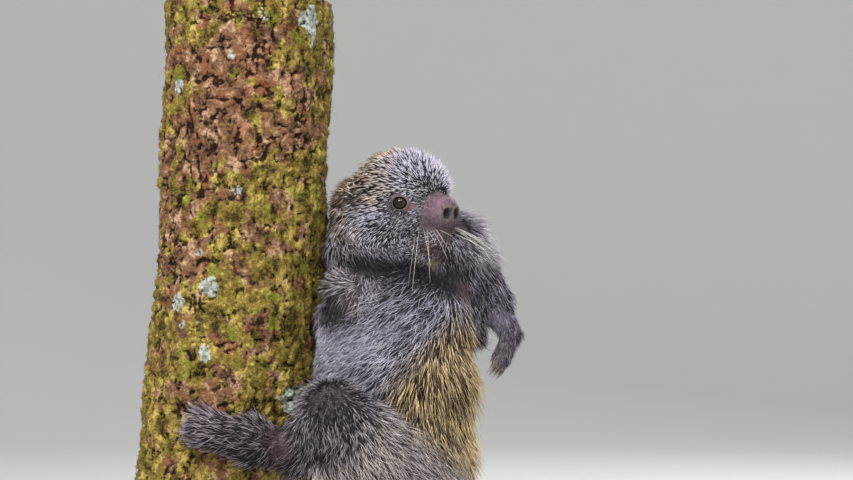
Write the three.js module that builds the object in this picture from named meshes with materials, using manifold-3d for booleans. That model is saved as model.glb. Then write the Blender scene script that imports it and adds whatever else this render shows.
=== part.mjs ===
// A hairy dwarf porcupine, one of the prehensile-tailed kinds, life size, holding on to a short cut
// length of trunk that two rods carry above a flat base. Millimetres, +Z up, origin at the centre of
// the base's underside. The animal hugs the trunk's right side (+X) with its left flank to the front
// (-Y), and turns its chest to the front and its face to the right front.
import * as THREE from "three";
import { mergeVertices } from "three/addons/utils/BufferGeometryUtils.js";
import Module from "manifold-3d";

const wasm = await Module();
wasm.setup();

// Driving sizes: the stand and the trunk
const gap = 0.3;
const base = { width: 300, depth: 250, thickness: 18, corner: 18 };
const rod = { radius: 8, height: 40, spread: 58 };
const trunk = {
  length: 545,
  footX: -63,
  lean: 0.054,
  bow: { from: 241, to: 605, most: 4.8 },
  footRadius: 66,
  topRadius: 61.5,
  sides: 32,
  rows: 12,
};
trunk.bottom = base.thickness + rod.height + 2 * gap;

// Driving sizes: the head, in its own frame of forward, left and up from the middle of the skull
const headYaw = 50;
const eye = { forward: 35.5, side: 22.2, up: 1, radius: 6.2, lid: 1.3, slit: [5.4, 4.2, 5.5] };
const ear = { forward: -9, side: 30, up: 1, radius: 8, height: 9.5, thickness: 3.4, cup: [6, 7.4, 4] };
const nostril = { forward: 69.5, side: 4.6, up: -9, half: [5, 2.3, 2.7] };
const lips = { forward: 55, up: -26, half: [9, 10, 1.3] };
const chin = { back: [16, 0, -25], front: [43, 0, -33], girth: [14, 9] };

// Driving sizes: the limbs. The four digits of each foot stand side by side, a step apart at their roots
// and another at their tips, and are lifted off the bark by the height of their middle lines.
const girths = {
  leftArm: [29, 16],
  rightArm: [22, 16],
  forearm: [14.5, 9],
  thigh: [36, 21],
  shin: [19, 13.5],
};
const digits = {
  places: [-1.5, -0.5, 0.5, 1.5],
  taper: 0.8,
  radius: 4,
  rootLift: 6,
  tipLift: 5,
  claw: 10,
};
const foot = {
  radii: [12, 13.5, 11],
  clearance: 0.4,
  softness: 8,
  rootStep: 4.4,
  tipStep: 6.5,
  reach: 0.62,
};
const holding = {
  height: 385,
  palm: { angle: 24, lift: 10, radius: 9.5 },
  roots: { angle: 28, step: 4 },
  tips: { angle: 41, step: 6 },
  clawAngle: 50,
};
const hanging = {
  girth: [7.5, 8],
  faces: [0.8, -0.6, 0],
  hooks: [-1, -0.3, 0],
  digit: { length: 9, radius: 3.2, claw: 8, rootStep: 3.6, tipStep: 0.6 },
};

// Driving sizes: the tail, as bones through a row of places, the last of them round the trunk
const tail = {
  drop: [[84, -20, 160], [52, -22, 139]],
  radii: [23, 17, 13.5, 11.5, 10, 8.8, 7.6, 6.4, 5.2, 4.2],
  angles: [-22, -48, -76, -104, -130, -152, -168],
  heights: [127, 119, 111, 104, 98, 93, 90],
  clearance: 0.6,
  softness: 5,
  spans: [["tail_base", 0, 2], ["tail_middle", 2, 4], ["tail_lower", 4, 6], ["tail_tip", 6, 9]],
};

// Driving sizes: where level cuts part the body, and how its back turns from one height to another
const parting = [["torso_rump", 0], ["torso_belly", 246], ["torso_chest", 346], ["neck", 398]];
const ceiling = 600;
const back = { low: 315, middle: 392, high: 420, atMiddle: 62, atHigh: 92, half: 88 };
const sweep = { from: 50, to: 110, low: 250, high: 340, most: 1.1 };

// Driving sizes: the coat. A quill is round, a lock is wide and flat, and both taper to a point. Lift is
// the angle at which they leave the skin, droop is how far they bend back down towards it, and spacing
// is the least distance between two roots.
const quill = { steps: 2, sink: 2.2, droop: 0.1, bulge: 0 };
const lock = { steps: 3, sink: 2.4, droop: 0.1, bulge: 1.4 };
const coat = {
  crownQuill: { ...quill, length: 16, width: 2.5, thickness: 2.2, spacing: 10.6, lift: 38 },
  cheekQuill: { ...quill, length: 14, width: 2.4, thickness: 2.1, sink: 1.6, spacing: 10.6, lift: 30 },
  backQuill: { ...quill, length: 33, width: 3.3, thickness: 2.8, spacing: 15.5, lift: 25 },
  tailQuill: { ...quill, length: 20, width: 2.5, thickness: 2.2, spacing: 13.5, lift: 27 },
  bodyLock: { ...lock, length: 37, width: 16, thickness: 4.2, spacing: 22, lift: 22 },
  neckLock: { ...lock, length: 26, width: 14, thickness: 3.6, spacing: 17, lift: 28 },
  limbLock: { ...lock, steps: 2, length: 23, width: 12.5, thickness: 3.6, spacing: 17, lift: 28 },
  footLock: { ...lock, steps: 2, length: 15, width: 9, thickness: 3, spacing: 15, lift: 28 },
};
const bareFace = { ahead: 34, below: -32, roundEye: 2.1 * eye.radius, crown: 12 };
const bareFoot = { nearToes: 14, nearBark: 9 };
const seed = 4977;

// Small helpers for points and angles
const V = (x, y, z) => new THREE.Vector3(x, y, z);
const UP = V(0, 0, 1);
const WORLD = [V(1, 0, 0), V(0, 1, 0), UP];
const radians = THREE.MathUtils.degToRad;
const { clamp, lerp, smoothstep } = THREE.MathUtils;
const random = (low, high) => lerp(low, high, THREE.MathUtils.seededRandom());
THREE.MathUtils.seededRandom(seed);

// Fine points of placing the coat: how near the skin a root must fall, how many darts are thrown for
// each root, how high a tip must end above the skin, how far strands stray to either side and in length,
// and how much steeper and shorter each retry is
const surfaceBand = 1.2;
const dartsPerRoot = 14;
const tipClearance = 1.2;
const stray = { turn: 12, length: 0.12 };
const retries = [[0, 1], [10, 1], [20, 0.85], [32, 0.7]];

// Places on and round the trunk
const trunkCentre = (z) => {
  const share = clamp((z - trunk.bow.from) / (trunk.bow.to - trunk.bow.from), 0, 1);
  const bowed = trunk.bow.most * Math.sin(Math.PI * share);
  return V(trunk.footX + trunk.lean * (z - trunk.bottom) + bowed, 0, z);
};
const trunkRadius = (z) =>
  lerp(trunk.footRadius, trunk.topRadius, (z - trunk.bottom) / trunk.length);
const outOfTrunk = (angle) => V(Math.cos(radians(angle)), Math.sin(radians(angle)), 0);
const roundTrunk = (angle, z, clearance) =>
  trunkCentre(z).addScaledVector(outOfTrunk(angle), trunkRadius(z) + clearance);

// Places on the head
const headMiddle = V(70, 2, 449.5);
const forward = V(Math.sin(radians(headYaw)), -Math.cos(radians(headYaw)), 0);
const leftward = UP.clone().cross(forward);
const HEAD = [forward, leftward, UP];
const headAt = (ahead, left, above) =>
  headMiddle
    .clone()
    .addScaledVector(forward, ahead)
    .addScaledVector(leftward, left)
    .addScaledVector(UP, above);

// Places on the body, on its own middle line, and the joints of the limbs
const body = {
  tailRoot: V(98, -20, 192),
  rump: V(88, -20, 222),
  hips: V(80, -24, 266),
  middle: V(79, -21, 316),
  chest: V(84, -9, 362),
  shoulders: V(80, -2, 388),
  nape: headAt(-9, 0, -17),
};
const limbs = {
  left: {
    shoulder: V(118, 4, 413),
    elbow: V(150, 11, 377),
    wrist: V(166, -2, 351),
    fingers: V(159, -5, 334),
    hip: V(88, -46, 244),
    knee: V(34, -88, 298),
    ankle: V(5, -54, 266),
    footAngles: [-40, -72, -98, -117],
    footHeights: [267, 276, 284, 290],
  },
  right: {
    shoulder: V(66, -4, 392),
    elbow: V(49, -37, 377),
    wrist: roundTrunk(9, 387, 13),
    hip: V(86, 6, 244),
    knee: V(40, 62, 290),
    ankle: V(-2, 54, 262),
    footAngles: [45, 76, 100, 118],
    footHeights: [261, 266, 273, 279],
  },
};

// Fields: each returns the rough signed distance of a point from a rounded form
function ellipsoid(centre, half, axes = WORLD) {
  const inner = Math.min(...half);
  return (point) => {
    const offset = point.clone().sub(centre);
    const local = axes.map((axis, i) => offset.dot(axis) / half[i]);
    const near = Math.hypot(...local);
    const slope = Math.hypot(...local.map((value, i) => value / half[i]));
    return slope < 1e-9 ? -inner : (near * (near - 1)) / slope;
  };
}

function bone(from, to, startRadius, endRadius) {
  const along = to.clone().sub(from);
  return (point) => {
    const share = clamp(point.clone().sub(from).dot(along) / along.lengthSq(), 0, 1);
    const nearest = from.clone().addScaledVector(along, share);
    return point.distanceTo(nearest) - lerp(startRadius, endRadius, share);
  };
}

function blend(fields, softness) {
  return (point) =>
    fields
      .map((field) => field(point))
      .reduce((a, b) => {
        const overlap = Math.max(softness - Math.abs(a - b), 0) / softness;
        return Math.min(a, b) - (overlap * overlap * softness) / 4;
      });
}

const slopeOf = (field, point) =>
  V(...WORLD.map((axis) => {
    const step = axis.clone().multiplyScalar(0.5);
    return field(point.clone().add(step)) - field(point.clone().sub(step));
  })).normalize();

// The forms of the animal's parts
const pair = (make) => [make(1), make(-1)];
const forms = {
  torso: blend(
    [
      ellipsoid(body.rump, [49, 46, 45]),
      ellipsoid(body.hips, [55, 52, 50]),
      ellipsoid(body.middle, [58, 50, 58]),
      ellipsoid(body.chest, [52, 46, 42]),
      bone(body.chest, body.shoulders, 42, 40),
      bone(body.shoulders, body.nape, 39, 33),
    ],
    16,
  ),
  head: blend(
    [
      ellipsoid(headAt(16, 0, 8.5), [37, 30.5, 30], HEAD),
      ellipsoid(headAt(-14, 0, -6), [25, 28, 27], HEAD),
      ...pair((side) => ellipsoid(headAt(6, 16 * side, -14), [27, 18, 20], HEAD)),
      ellipsoid(headAt(37, 0, -8), [21, 16.5, 17], HEAD),
    ],
    9,
  ),
  muzzle: blend(
    [
      ellipsoid(headAt(45, 0, -11), [16, 13, 12], HEAD),
      ellipsoid(headAt(57, 0, -7.5), [13, 13.5, 12.5], HEAD),
      ...pair((side) => ellipsoid(headAt(49, 4.5 * side, -22.5), [11, 8, 8.5], HEAD)),
    ],
    5,
  ),
  jaw: bone(headAt(...chin.back), headAt(...chin.front), ...chin.girth),
};

// A closed surface where rays from an axis leave a form, as rings between two poles. Each ray steps out
// past the surface and then halves its way back onto it.
const stride = 1.5;
const halvings = 14;
function shell(form, axisPoints, rings, sides, grow = 0) {
  const field = (point) => form(point) - grow;
  const reach = (from, direction) => {
    let near = 0;
    let far = 1;
    while (field(from.clone().addScaledVector(direction, far)) < 0) {
      near = far;
      far += stride;
    }
    for (let i = 0; i < halvings; i++) {
      const middle = (near + far) / 2;
      if (field(from.clone().addScaledVector(direction, middle)) < 0) near = middle;
      else far = middle;
    }
    return from.clone().addScaledVector(direction, near);
  };
  const inner = new THREE.CatmullRomCurve3(axisPoints);
  const startPole = reach(inner.getPoint(0), inner.getTangent(0).negate());
  const endPole = reach(inner.getPoint(1), inner.getTangent(1));
  const axis = new THREE.CatmullRomCurve3([startPole, ...axisPoints, endPole]);
  const points = [];
  const across = V(0.2, -1, 0.1);
  for (let ring = 1; ring <= rings; ring++) {
    const share = (1 - Math.cos((Math.PI * ring) / (rings + 1))) / 2;
    const centre = axis.getPointAt(share);
    const tangent = axis.getTangentAt(share);
    across.addScaledVector(tangent, -across.dot(tangent)).normalize();
    const beside = tangent.clone().cross(across);
    for (let side = 0; side < sides; side++) {
      const turn = (2 * Math.PI * side) / sides;
      const ray = across
        .clone()
        .multiplyScalar(Math.cos(turn))
        .addScaledVector(beside, Math.sin(turn));
      points.push(reach(centre, ray));
    }
  }
  points.push(startPole, endPole);
  const faces = [];
  const at = (ring, side) => ring * sides + (side % sides);
  for (let side = 0; side < sides; side++) {
    faces.push(points.length - 2, at(0, side + 1), at(0, side));
    faces.push(points.length - 1, at(rings - 1, side), at(rings - 1, side + 1));
    for (let ring = 0; ring < rings - 1; ring++) {
      faces.push(at(ring, side), at(ring, side + 1), at(ring + 1, side + 1));
      faces.push(at(ring, side), at(ring + 1, side + 1), at(ring + 1, side));
    }
  }
  return solid(new THREE.BufferGeometry().setFromPoints(points).setIndex(faces));
}

// Between three.js geometry and solids that can be joined and cut
function solid(geometry) {
  geometry.deleteAttribute("normal");
  geometry.deleteAttribute("uv");
  const merged = mergeVertices(geometry, 1e-4);
  return new wasm.Manifold(
    new wasm.Mesh({
      numProp: 3,
      vertProperties: Float32Array.from(merged.attributes.position.array),
      triVerts: Uint32Array.from(merged.index.array),
    }),
  );
}

function geometryOf(made) {
  const mesh = made.getMesh();
  return new THREE.BufferGeometry()
    .setAttribute("position", new THREE.BufferAttribute(mesh.vertProperties, 3))
    .setIndex(new THREE.BufferAttribute(mesh.triVerts, 1));
}

const largest = (made) =>
  made.decompose().reduce((kept, next) => (next.volume() > kept.volume() ? next : kept));
const joined = (pieces) => pieces.reduce((whole, piece) => whole.add(piece));
const without = (made, ...others) => others.reduce((left, other) => left.subtract(other), made);

function ball(centre, half, axes = WORLD, segments = [12, 8]) {
  const frame = new THREE.Matrix4().makeBasis(...axes).setPosition(centre);
  const geometry = new THREE.SphereGeometry(1, ...segments);
  return solid(geometry.scale(...half).applyMatrix4(frame));
}

function slab(lowZ, highZ) {
  const wide = 900;
  const box = new THREE.BoxGeometry(wide, wide, highZ - lowZ);
  return solid(box.translate(0, 0, (lowZ + highZ) / 2));
}

// A tapering strand of three sides that leaves the skin at its lift and bends over along its lie. Its
// root is sunk under the skin, and its width runs across the lie. A margin makes it fatter all round.
function strand(root, out, lie, shape, margin = 0) {
  const { length, width, thickness, lift, droop, sink, bulge, steps } = shape;
  const across = lie.clone().cross(out).normalize();
  const start = lie
    .clone()
    .multiplyScalar(Math.cos(radians(lift)))
    .addScaledVector(out, Math.sin(radians(lift)));
  const centre = (share) =>
    root
      .clone()
      .addScaledVector(out, -sink - droop * length * share * Math.abs(share))
      .addScaledVector(start, length * share);
  const nudge = 0.02;
  const geometry = new THREE.ConeGeometry(1, 1, 3, steps);
  const places = geometry.attributes.position;
  for (let i = 0; i < places.count; i++) {
    const share = clamp(places.getY(i) + 0.5, 0, 1);
    const ring = Math.hypot(places.getX(i), places.getZ(i));
    const girth = 1 + bulge * share * (1 - share);
    const fat = ring > 1e-6 ? margin / ring : 0;
    const along = lerp(-margin, length + margin, share) / length;
    const heading = centre(along + nudge).sub(centre(along - nudge)).normalize();
    const over = across.clone().cross(heading).normalize();
    const place = centre(along)
      .addScaledVector(across, places.getX(i) * ((girth * width) / 2 + fat))
      .addScaledVector(over, places.getZ(i) * ((girth * thickness) / 2 + fat));
    places.setXYZ(i, place.x, place.y, place.z);
  }
  return solid(geometry);
}

// Roots spread over a node's own outer surface, by throwing darts at its faces
function rootsOn(core, form, spacing, grows) {
  const places = geometryOf(core).toNonIndexed().attributes.position;
  const faces = [];
  let total = 0;
  for (let i = 0; i < places.count; i += 3) {
    const corners = [0, 1, 2].map((j) => V().fromBufferAttribute(places, i + j));
    total += new THREE.Triangle(...corners).getArea();
    faces.push({ corners, total });
  }
  const roots = [];
  const throws = (dartsPerRoot * total) / (spacing * spacing);
  for (let i = 0; i < throws; i++) {
    const mark = random(0, total);
    const { corners } = faces.find((face) => face.total >= mark);
    let [s, t] = [random(0, 1), random(0, 1)];
    if (s + t > 1) [s, t] = [1 - s, 1 - t];
    const point = corners[0]
      .clone()
      .addScaledVector(corners[1].clone().sub(corners[0]), s)
      .addScaledVector(corners[2].clone().sub(corners[0]), t);
    const onSurface = Math.abs(form(point)) < surfaceBand && grows(point);
    if (onSurface && roots.every((root) => root.distanceTo(point) > spacing)) roots.push(point);
  }
  return roots;
}

// Whether two boxes come within reach of each other, which spares most of the exact tests
function boxesMeet(a, b) {
  return [0, 1, 2].every((i) => a.min[i] < b.max[i] && b.min[i] < a.max[i]);
}

// Coat grown on one node. A strand that would come too near another node, or dip back into its own, is
// tried again steeper and shorter, and left out if that doesn't clear it either.
const grown = new Map();
function growCoat(name, shape, lieAt, grows) {
  const [core, form] = [cores.get(name), forms[name]];
  const others = [...cores].filter(([other]) => other !== name).map(([, made]) => made);
  const strands = [...grown].filter(([other]) => other !== name).flatMap(([, list]) => list);
  const obstacles = [...others, ...strands].map((made) => ({ made, box: made.boundingBox() }));
  const clear = (piece) => {
    const box = piece.boundingBox();
    return obstacles.every(
      (other) => !boxesMeet(box, other.box) || piece.intersect(other.made).isEmpty(),
    );
  };
  for (const root of rootsOn(core, form, shape.spacing, grows)) {
    const out = slopeOf(form, root);
    const turn = random(-stray.turn, stray.turn);
    const lie = lieAt(root, out).applyAxisAngle(out, radians(turn));
    lie.addScaledVector(out, -lie.dot(out)).normalize();
    const length = shape.length * random(1 - stray.length, 1 + stray.length);
    for (const [steeper, shorter] of retries) {
      const tried = { ...shape, length: length * shorter, lift: shape.lift + steeper };
      const tip = root
        .clone()
        .addScaledVector(lie, tried.length * Math.cos(radians(tried.lift)))
        .addScaledVector(out, tried.length * (Math.sin(radians(tried.lift)) - tried.droop) - tried.sink);
      if (form(tip) < tipClearance || !clear(strand(root, out, lie, tried, 2 * gap))) continue;
      if (!grown.has(name)) grown.set(name, []);
      grown.get(name).push(strand(root, out, lie, tried));
      break;
    }
  }
}

// Which way the back faces at each height, and how far round from it a place on the body lies
const backAngle = (z) =>
  back.atMiddle * smoothstep(z, back.low, back.middle) +
  (back.atHigh - back.atMiddle) * smoothstep(z, back.middle, back.high);
const spine = new THREE.CatmullRomCurve3([body.rump, body.hips, body.middle, body.chest]);
function offBack(point) {
  const share = clamp((point.z - body.rump.z) / (body.chest.z - body.rump.z), 0, 1);
  const from = point.clone().sub(spine.getPoint(share));
  const turn = THREE.MathUtils.radToDeg(Math.atan2(from.y, from.x)) - backAngle(point.z);
  return THREE.MathUtils.euclideanModulo(turn + 180, 360) - 180;
}
const onBack = (point) => Math.abs(offBack(point)) < back.half;
const offTheBack = (point) => !onBack(point);
const everywhere = () => true;

// Which way the coat lies: down the body and round towards the belly, back over the head, and out along
// the limbs and the tail
function alongTorso(point, out) {
  const turn = offBack(point);
  const round = smoothstep(Math.abs(turn), sweep.from, sweep.to);
  const share = sweep.most * round * smoothstep(point.z, sweep.low, sweep.high);
  return UP.clone().cross(out).multiplyScalar(Math.sign(turn) * share).sub(UP);
}
const alongHead = () => forward.clone().negate().addScaledVector(UP, -0.15);
const alongBone = (from, to) => () => to.clone().sub(from).normalize().addScaledVector(UP, -0.25);
const alongTail = (point) => {
  const ends = tailPath.slice(1).map((to, i) => [tailPath[i], to]);
  const [from, to] = ends.reduce((near, end) =>
    point.distanceTo(end[0]) + point.distanceTo(end[1]) <
    point.distanceTo(near[0]) + point.distanceTo(near[1])
      ? end
      : near,
  );
  return to.clone().sub(from);
};

// The stand: a flat base with round corners, and two short rods
function standBase() {
  const outline = new THREE.Shape();
  const [halfWidth, halfDepth] = [base.width / 2, base.depth / 2];
  outline.moveTo(-halfWidth + base.corner, -halfDepth);
  const corners = [[1, -1, -90], [1, 1, 0], [-1, 1, 90], [-1, -1, 180]];
  for (const [x, y, turn] of corners)
    outline.absarc(
      x * (halfWidth - base.corner),
      y * (halfDepth - base.corner),
      base.corner,
      radians(turn),
      radians(turn + 90),
    );
  const options = { depth: base.thickness, bevelEnabled: false, curveSegments: 5 };
  return solid(new THREE.ExtrudeGeometry(outline, options));
}

function standRod(side) {
  const middle = trunkCentre(trunk.bottom);
  const geometry = new THREE.CylinderGeometry(rod.radius, rod.radius, rod.height, 16);
  geometry.rotateX(Math.PI / 2);
  const low = base.thickness + gap;
  return solid(geometry.translate(middle.x + (side * rod.spread) / 2, 0, low + rod.height / 2));
}

// The trunk: a leaning, slightly bowed, tapering log whose bark rises in crossing ridges, each with its count round
// the trunk, its height and the millimetres up the trunk that turn it by one radian
const ridges = [
  { count: 2, height: 0.8, climb: 90 },
  { count: 5, height: 0.9, climb: 29 },
  { count: 7, height: 1.2, climb: -23 },
];
const barkRidge = (turn, z) =>
  ridges.reduce((sum, { count, height, climb }) => sum + height * Math.sin(count * turn + z / climb), 0);
function log(grow = 0) {
  const length = trunk.length + 2 * grow;
  const geometry = new THREE.CylinderGeometry(1, 1, length, trunk.sides, trunk.rows);
  geometry.rotateX(Math.PI / 2).translate(0, 0, trunk.bottom - grow + length / 2);
  const places = geometry.attributes.position;
  for (let i = 0; i < places.count; i++) {
    const [x, y, z] = [places.getX(i), places.getY(i), places.getZ(i)];
    const radius = (trunkRadius(z) + barkRidge(Math.atan2(y, x), z)) * Math.hypot(x, y);
    const ray = V(x, y, 0).normalize().multiplyScalar(radius + grow * Math.hypot(x, y));
    const place = trunkCentre(z).add(ray);
    places.setXYZ(i, place.x, place.y, place.z);
  }
  return solid(geometry);
}

// Digits and claws. A claw curves from its root along its aim towards the side it hooks to.
function claw(root, aim, hook, length, width) {
  const shape = { ...quill, length, width, thickness: width * 1.4, lift: 0, sink: 0, droop: 0.42 };
  return strand(root, hook.clone().negate(), aim, shape);
}

function digit(from, to, radius, hook, clawLength) {
  const finger = shell(bone(from, to, radius, radius * digits.taper), [from, to], 2, 6);
  const aim = to.clone().sub(from).normalize();
  const root = to.clone().addScaledVector(aim, -radius * 0.3);
  return finger.add(claw(root, aim, hook, clawLength, radius * 1.1));
}

// A foot with its sole on the trunk, from the heel round to four clawed toes
function footLine({ footAngles, footHeights }) {
  return [0, 1, 2].map((i) => roundTrunk(footAngles[i], footHeights[i], foot.radii[i] + foot.clearance));
}

function clingingFoot(limb) {
  const line = footLine(limb);
  const [, sole, toeRoot, tip] = limb.footAngles;
  const [, , toeRootZ, tipZ] = limb.footHeights;
  const form = blend(
    [0, 1].map((i) => bone(line[i], line[i + 1], foot.radii[i], foot.radii[i + 1])),
    foot.softness,
  );
  const toes = digits.places.map((place) => {
    const reach = foot.reach * (1 - 0.08 * place * place);
    const rootZ = toeRootZ + place * foot.rootStep;
    const from = roundTrunk(lerp(sole, toeRoot, 0.8), rootZ, digits.rootLift);
    const to = roundTrunk(lerp(toeRoot, tip, reach), tipZ + place * foot.tipStep, digits.tipLift);
    return digit(from, to, digits.radius, outOfTrunk(tip).negate(), digits.claw);
  });
  return { form, made: joined([shell(form, line, 7, 10), ...toes]) };
}

// The free hand, hanging from its bent wrist, with its claws curving towards the trunk
function freeHand({ wrist, fingers }) {
  const form = bone(wrist, fingers, ...hanging.girth);
  const { length, radius, claw: clawLength, rootStep, tipStep } = hanging.digit;
  const down = fingers.clone().sub(wrist).normalize();
  const across = down.clone().cross(V(...hanging.faces)).normalize();
  const hook = V(...hanging.hooks).normalize();
  const hung = digits.places.map((place) => {
    const from = fingers.clone().addScaledVector(across, place * rootStep);
    const to = from.clone().addScaledVector(down, length).addScaledVector(across, place * tipStep);
    return digit(from, to, radius, hook, clawLength);
  });
  return { form, made: joined([shell(form, [wrist, fingers], 5, 9), ...hung]) };
}

// The hand that holds on, wrapped round the trunk
function holdingHand({ wrist }) {
  const { height, palm, roots, tips, clawAngle } = holding;
  const middle = roundTrunk(palm.angle, height, palm.lift);
  const form = bone(wrist, middle, palm.radius, palm.radius);
  const held = digits.places.map((place) => {
    const from = roundTrunk(roots.angle, height + place * roots.step, digits.rootLift);
    const to = roundTrunk(tips.angle, height + place * tips.step, digits.tipLift);
    return digit(from, to, digits.radius, outOfTrunk(clawAngle).negate(), digits.claw);
  });
  return { form, made: joined([shell(form, [wrist, middle], 5, 9), ...held]) };
}

// Solids of the parts, each cut clear of those made before it
const cores = new Map();
const taken = [];
function place(name, made, clear, form) {
  cores.set(name, largest(without(made, ...taken)));
  if (clear) taken.push(clear);
  if (form) forms[name] = form;
}

function placeShell(name, form, axis, rings, sides) {
  place(name, shell(form, axis, rings, sides), shell(form, axis, rings, sides, gap), form);
}

place("stand_base", standBase());
place("stand_rod_left", standRod(-1));
place("stand_rod_right", standRod(1));
place("perch_trunk", log(), log(gap));

// The head, with sockets for the eyes under almond lids
const eyePlace = (side) => headAt(eye.forward, side * eye.side, eye.up);
const gaze = (side) =>
  forward.clone().multiplyScalar(0.42).addScaledVector(leftward, side).normalize();
const globe = (side, radius) => ball(eyePlace(side), [radius, radius, radius]);

// The opening between the lids, an almond that looks out and a little ahead
function slit(side) {
  const aim = gaze(side);
  const across = UP.clone().cross(aim).normalize();
  const front = eyePlace(side).addScaledVector(aim, eye.radius);
  return ball(front, eye.slit, [across, aim.clone().cross(across), aim], [10, 6]);
}

const headAxis = [headAt(-22, 0, -3), headAt(34, 0, -2)];
const skull = (grow) => shell(forms.head, headAxis, 13, 18, grow);
const lids = pair((side) => globe(side, eye.radius + eye.lid));
const sockets = pair((side) => globe(side, eye.radius + gap));
const face = without(joined([skull(0), ...lids]), ...sockets, ...pair(slit));
place("head", face, skull(gap));
cores.set("eye_left", globe(1, eye.radius));
cores.set("eye_right", globe(-1, eye.radius));

for (const [name, side] of [["ear_left", 1], ["ear_right", -1]]) {
  const flap = headAt(ear.forward, side * ear.side, ear.up);
  const outward = leftward.clone().multiplyScalar(side).addScaledVector(forward, 0.35).normalize();
  const along = UP.clone().addScaledVector(outward, -UP.dot(outward)).normalize();
  const axes = [along.clone().cross(outward), along, outward];
  const plate = (grow) =>
    ball(flap, [ear.radius + grow, ear.height + grow, ear.thickness + grow], axes, [12, 6]);
  const mouth = flap.clone().addScaledVector(outward, ear.thickness);
  const cup = ball(mouth, ear.cup, axes, [12, 6]);
  place(name, without(plate(0), cup), plate(gap));
}

const muzzleAxis = [headAt(38, 0, -12), headAt(58, 0, -11)];
const nostrils = pair((side) =>
  ball(headAt(nostril.forward, side * nostril.side, nostril.up), nostril.half, HEAD, [8, 6]),
);
const lipLine = ball(headAt(lips.forward, 0, lips.up), lips.half, HEAD, [12, 4]);
const snout = without(shell(forms.muzzle, muzzleAxis, 9, 16), ...nostrils, lipLine);
place("muzzle", snout, shell(forms.muzzle, muzzleAxis, 9, 16, gap), forms.muzzle);
placeShell("jaw", forms.jaw, [headAt(...chin.back), headAt(...chin.front)], 6, 12);

// The body as one form, parted by level cuts into rump, belly, chest and neck
const torsoAxis = [body.rump, body.hips, body.middle, body.chest, body.shoulders, body.nape];
const torso = shell(forms.torso, torsoAxis, 18, 18);
for (const [i, [name, low]] of parting.entries()) {
  const high = parting[i + 1]?.[1] ?? ceiling;
  place(name, torso.intersect(slab(low + gap / 2, high - gap / 2)), null, forms.torso);
}
taken.push(shell(forms.torso, torsoAxis, 18, 18, gap));

// The limbs, from the body outwards
for (const side of ["left", "right"]) {
  const { shoulder, elbow, wrist, hip, knee, ankle } = limbs[side];
  const lengths = [
    [`upper_arm_${side}`, shoulder, elbow, girths[`${side}Arm`]],
    [`forearm_${side}`, elbow, wrist, girths.forearm],
    [`thigh_${side}`, hip, knee, girths.thigh],
    [`shin_${side}`, knee, ankle, girths.shin],
  ];
  for (const [name, from, to, girth] of lengths)
    placeShell(name, bone(from, to, ...girth), [from, to], 7, 12);
  const hand = side === "left" ? freeHand(limbs.left) : holdingHand(limbs.right);
  place(`hand_${side}`, hand.made, null, hand.form);
  const sole = clingingFoot(limbs[side]);
  place(`foot_${side}`, sole.made, null, sole.form);
}

// The tail: from the rump down to the trunk, then round its front and down
const tailPath = [
  body.tailRoot,
  ...tail.drop.map((place) => V(...place)),
  ...tail.angles.map((angle, i) =>
    roundTrunk(angle, tail.heights[i], tail.radii[i + 3] + tail.clearance),
  ),
];
for (const [name, first, last] of tail.spans) {
  const points = tailPath.slice(first, last + 1);
  const bones = points
    .slice(1)
    .map((to, i) => bone(points[i], to, tail.radii[first + i], tail.radii[first + i + 1]));
  placeShell(name, blend(bones, tail.softness), points, 3 * (last - first), 10);
}

// The coat
const onHead = (point) => {
  const from = point.clone().sub(headMiddle);
  return { ahead: from.dot(forward), above: from.z };
};
const clearOfFace = (point) =>
  onHead(point).ahead < bareFace.ahead &&
  onHead(point).above > bareFace.below &&
  pair(eyePlace).every((centre) => centre.distanceTo(point) > bareFace.roundEye);
const onCrown = (point) => clearOfFace(point) && onHead(point).above > bareFace.crown;
const onCheek = (point) => clearOfFace(point) && !onCrown(point);
growCoat("head", coat.crownQuill, alongHead, onCrown);
growCoat("head", coat.cheekQuill, alongHead, onCheek);
growCoat("neck", coat.neckLock, alongTorso, everywhere);
growCoat("torso_rump", coat.backQuill, alongTorso, onBack);
growCoat("torso_belly", coat.backQuill, alongTorso, onBack);
growCoat("torso_chest", coat.backQuill, alongTorso, onBack);
growCoat("torso_rump", coat.bodyLock, alongTorso, offTheBack);
growCoat("torso_belly", coat.bodyLock, alongTorso, offTheBack);
growCoat("torso_chest", coat.bodyLock, alongTorso, offTheBack);
for (const side of ["left", "right"]) {
  const { shoulder, elbow, wrist, hip, knee, ankle, footAngles } = limbs[side];
  growCoat(`thigh_${side}`, coat.bodyLock, alongBone(knee, hip), everywhere);
  growCoat(`upper_arm_${side}`, coat.limbLock, alongBone(shoulder, elbow), everywhere);
  growCoat(`forearm_${side}`, coat.limbLock, alongBone(elbow, wrist), everywhere);
  growCoat(`shin_${side}`, coat.limbLock, alongBone(knee, ankle), everywhere);
  const [heel, toes] = [footLine(limbs[side])[0], footLine(limbs[side])[2]];
  const outside = (point) =>
    point.distanceTo(toes) > bareFoot.nearToes &&
    point.distanceTo(trunkCentre(point.z)) > trunkRadius(point.z) + bareFoot.nearBark;
  growCoat(`foot_${side}`, coat.footLock, alongBone(heel, toes), outside);
}
growCoat("tail_base", coat.tailQuill, alongTail, everywhere);
growCoat("tail_middle", coat.limbLock, alongTail, everywhere);

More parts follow.
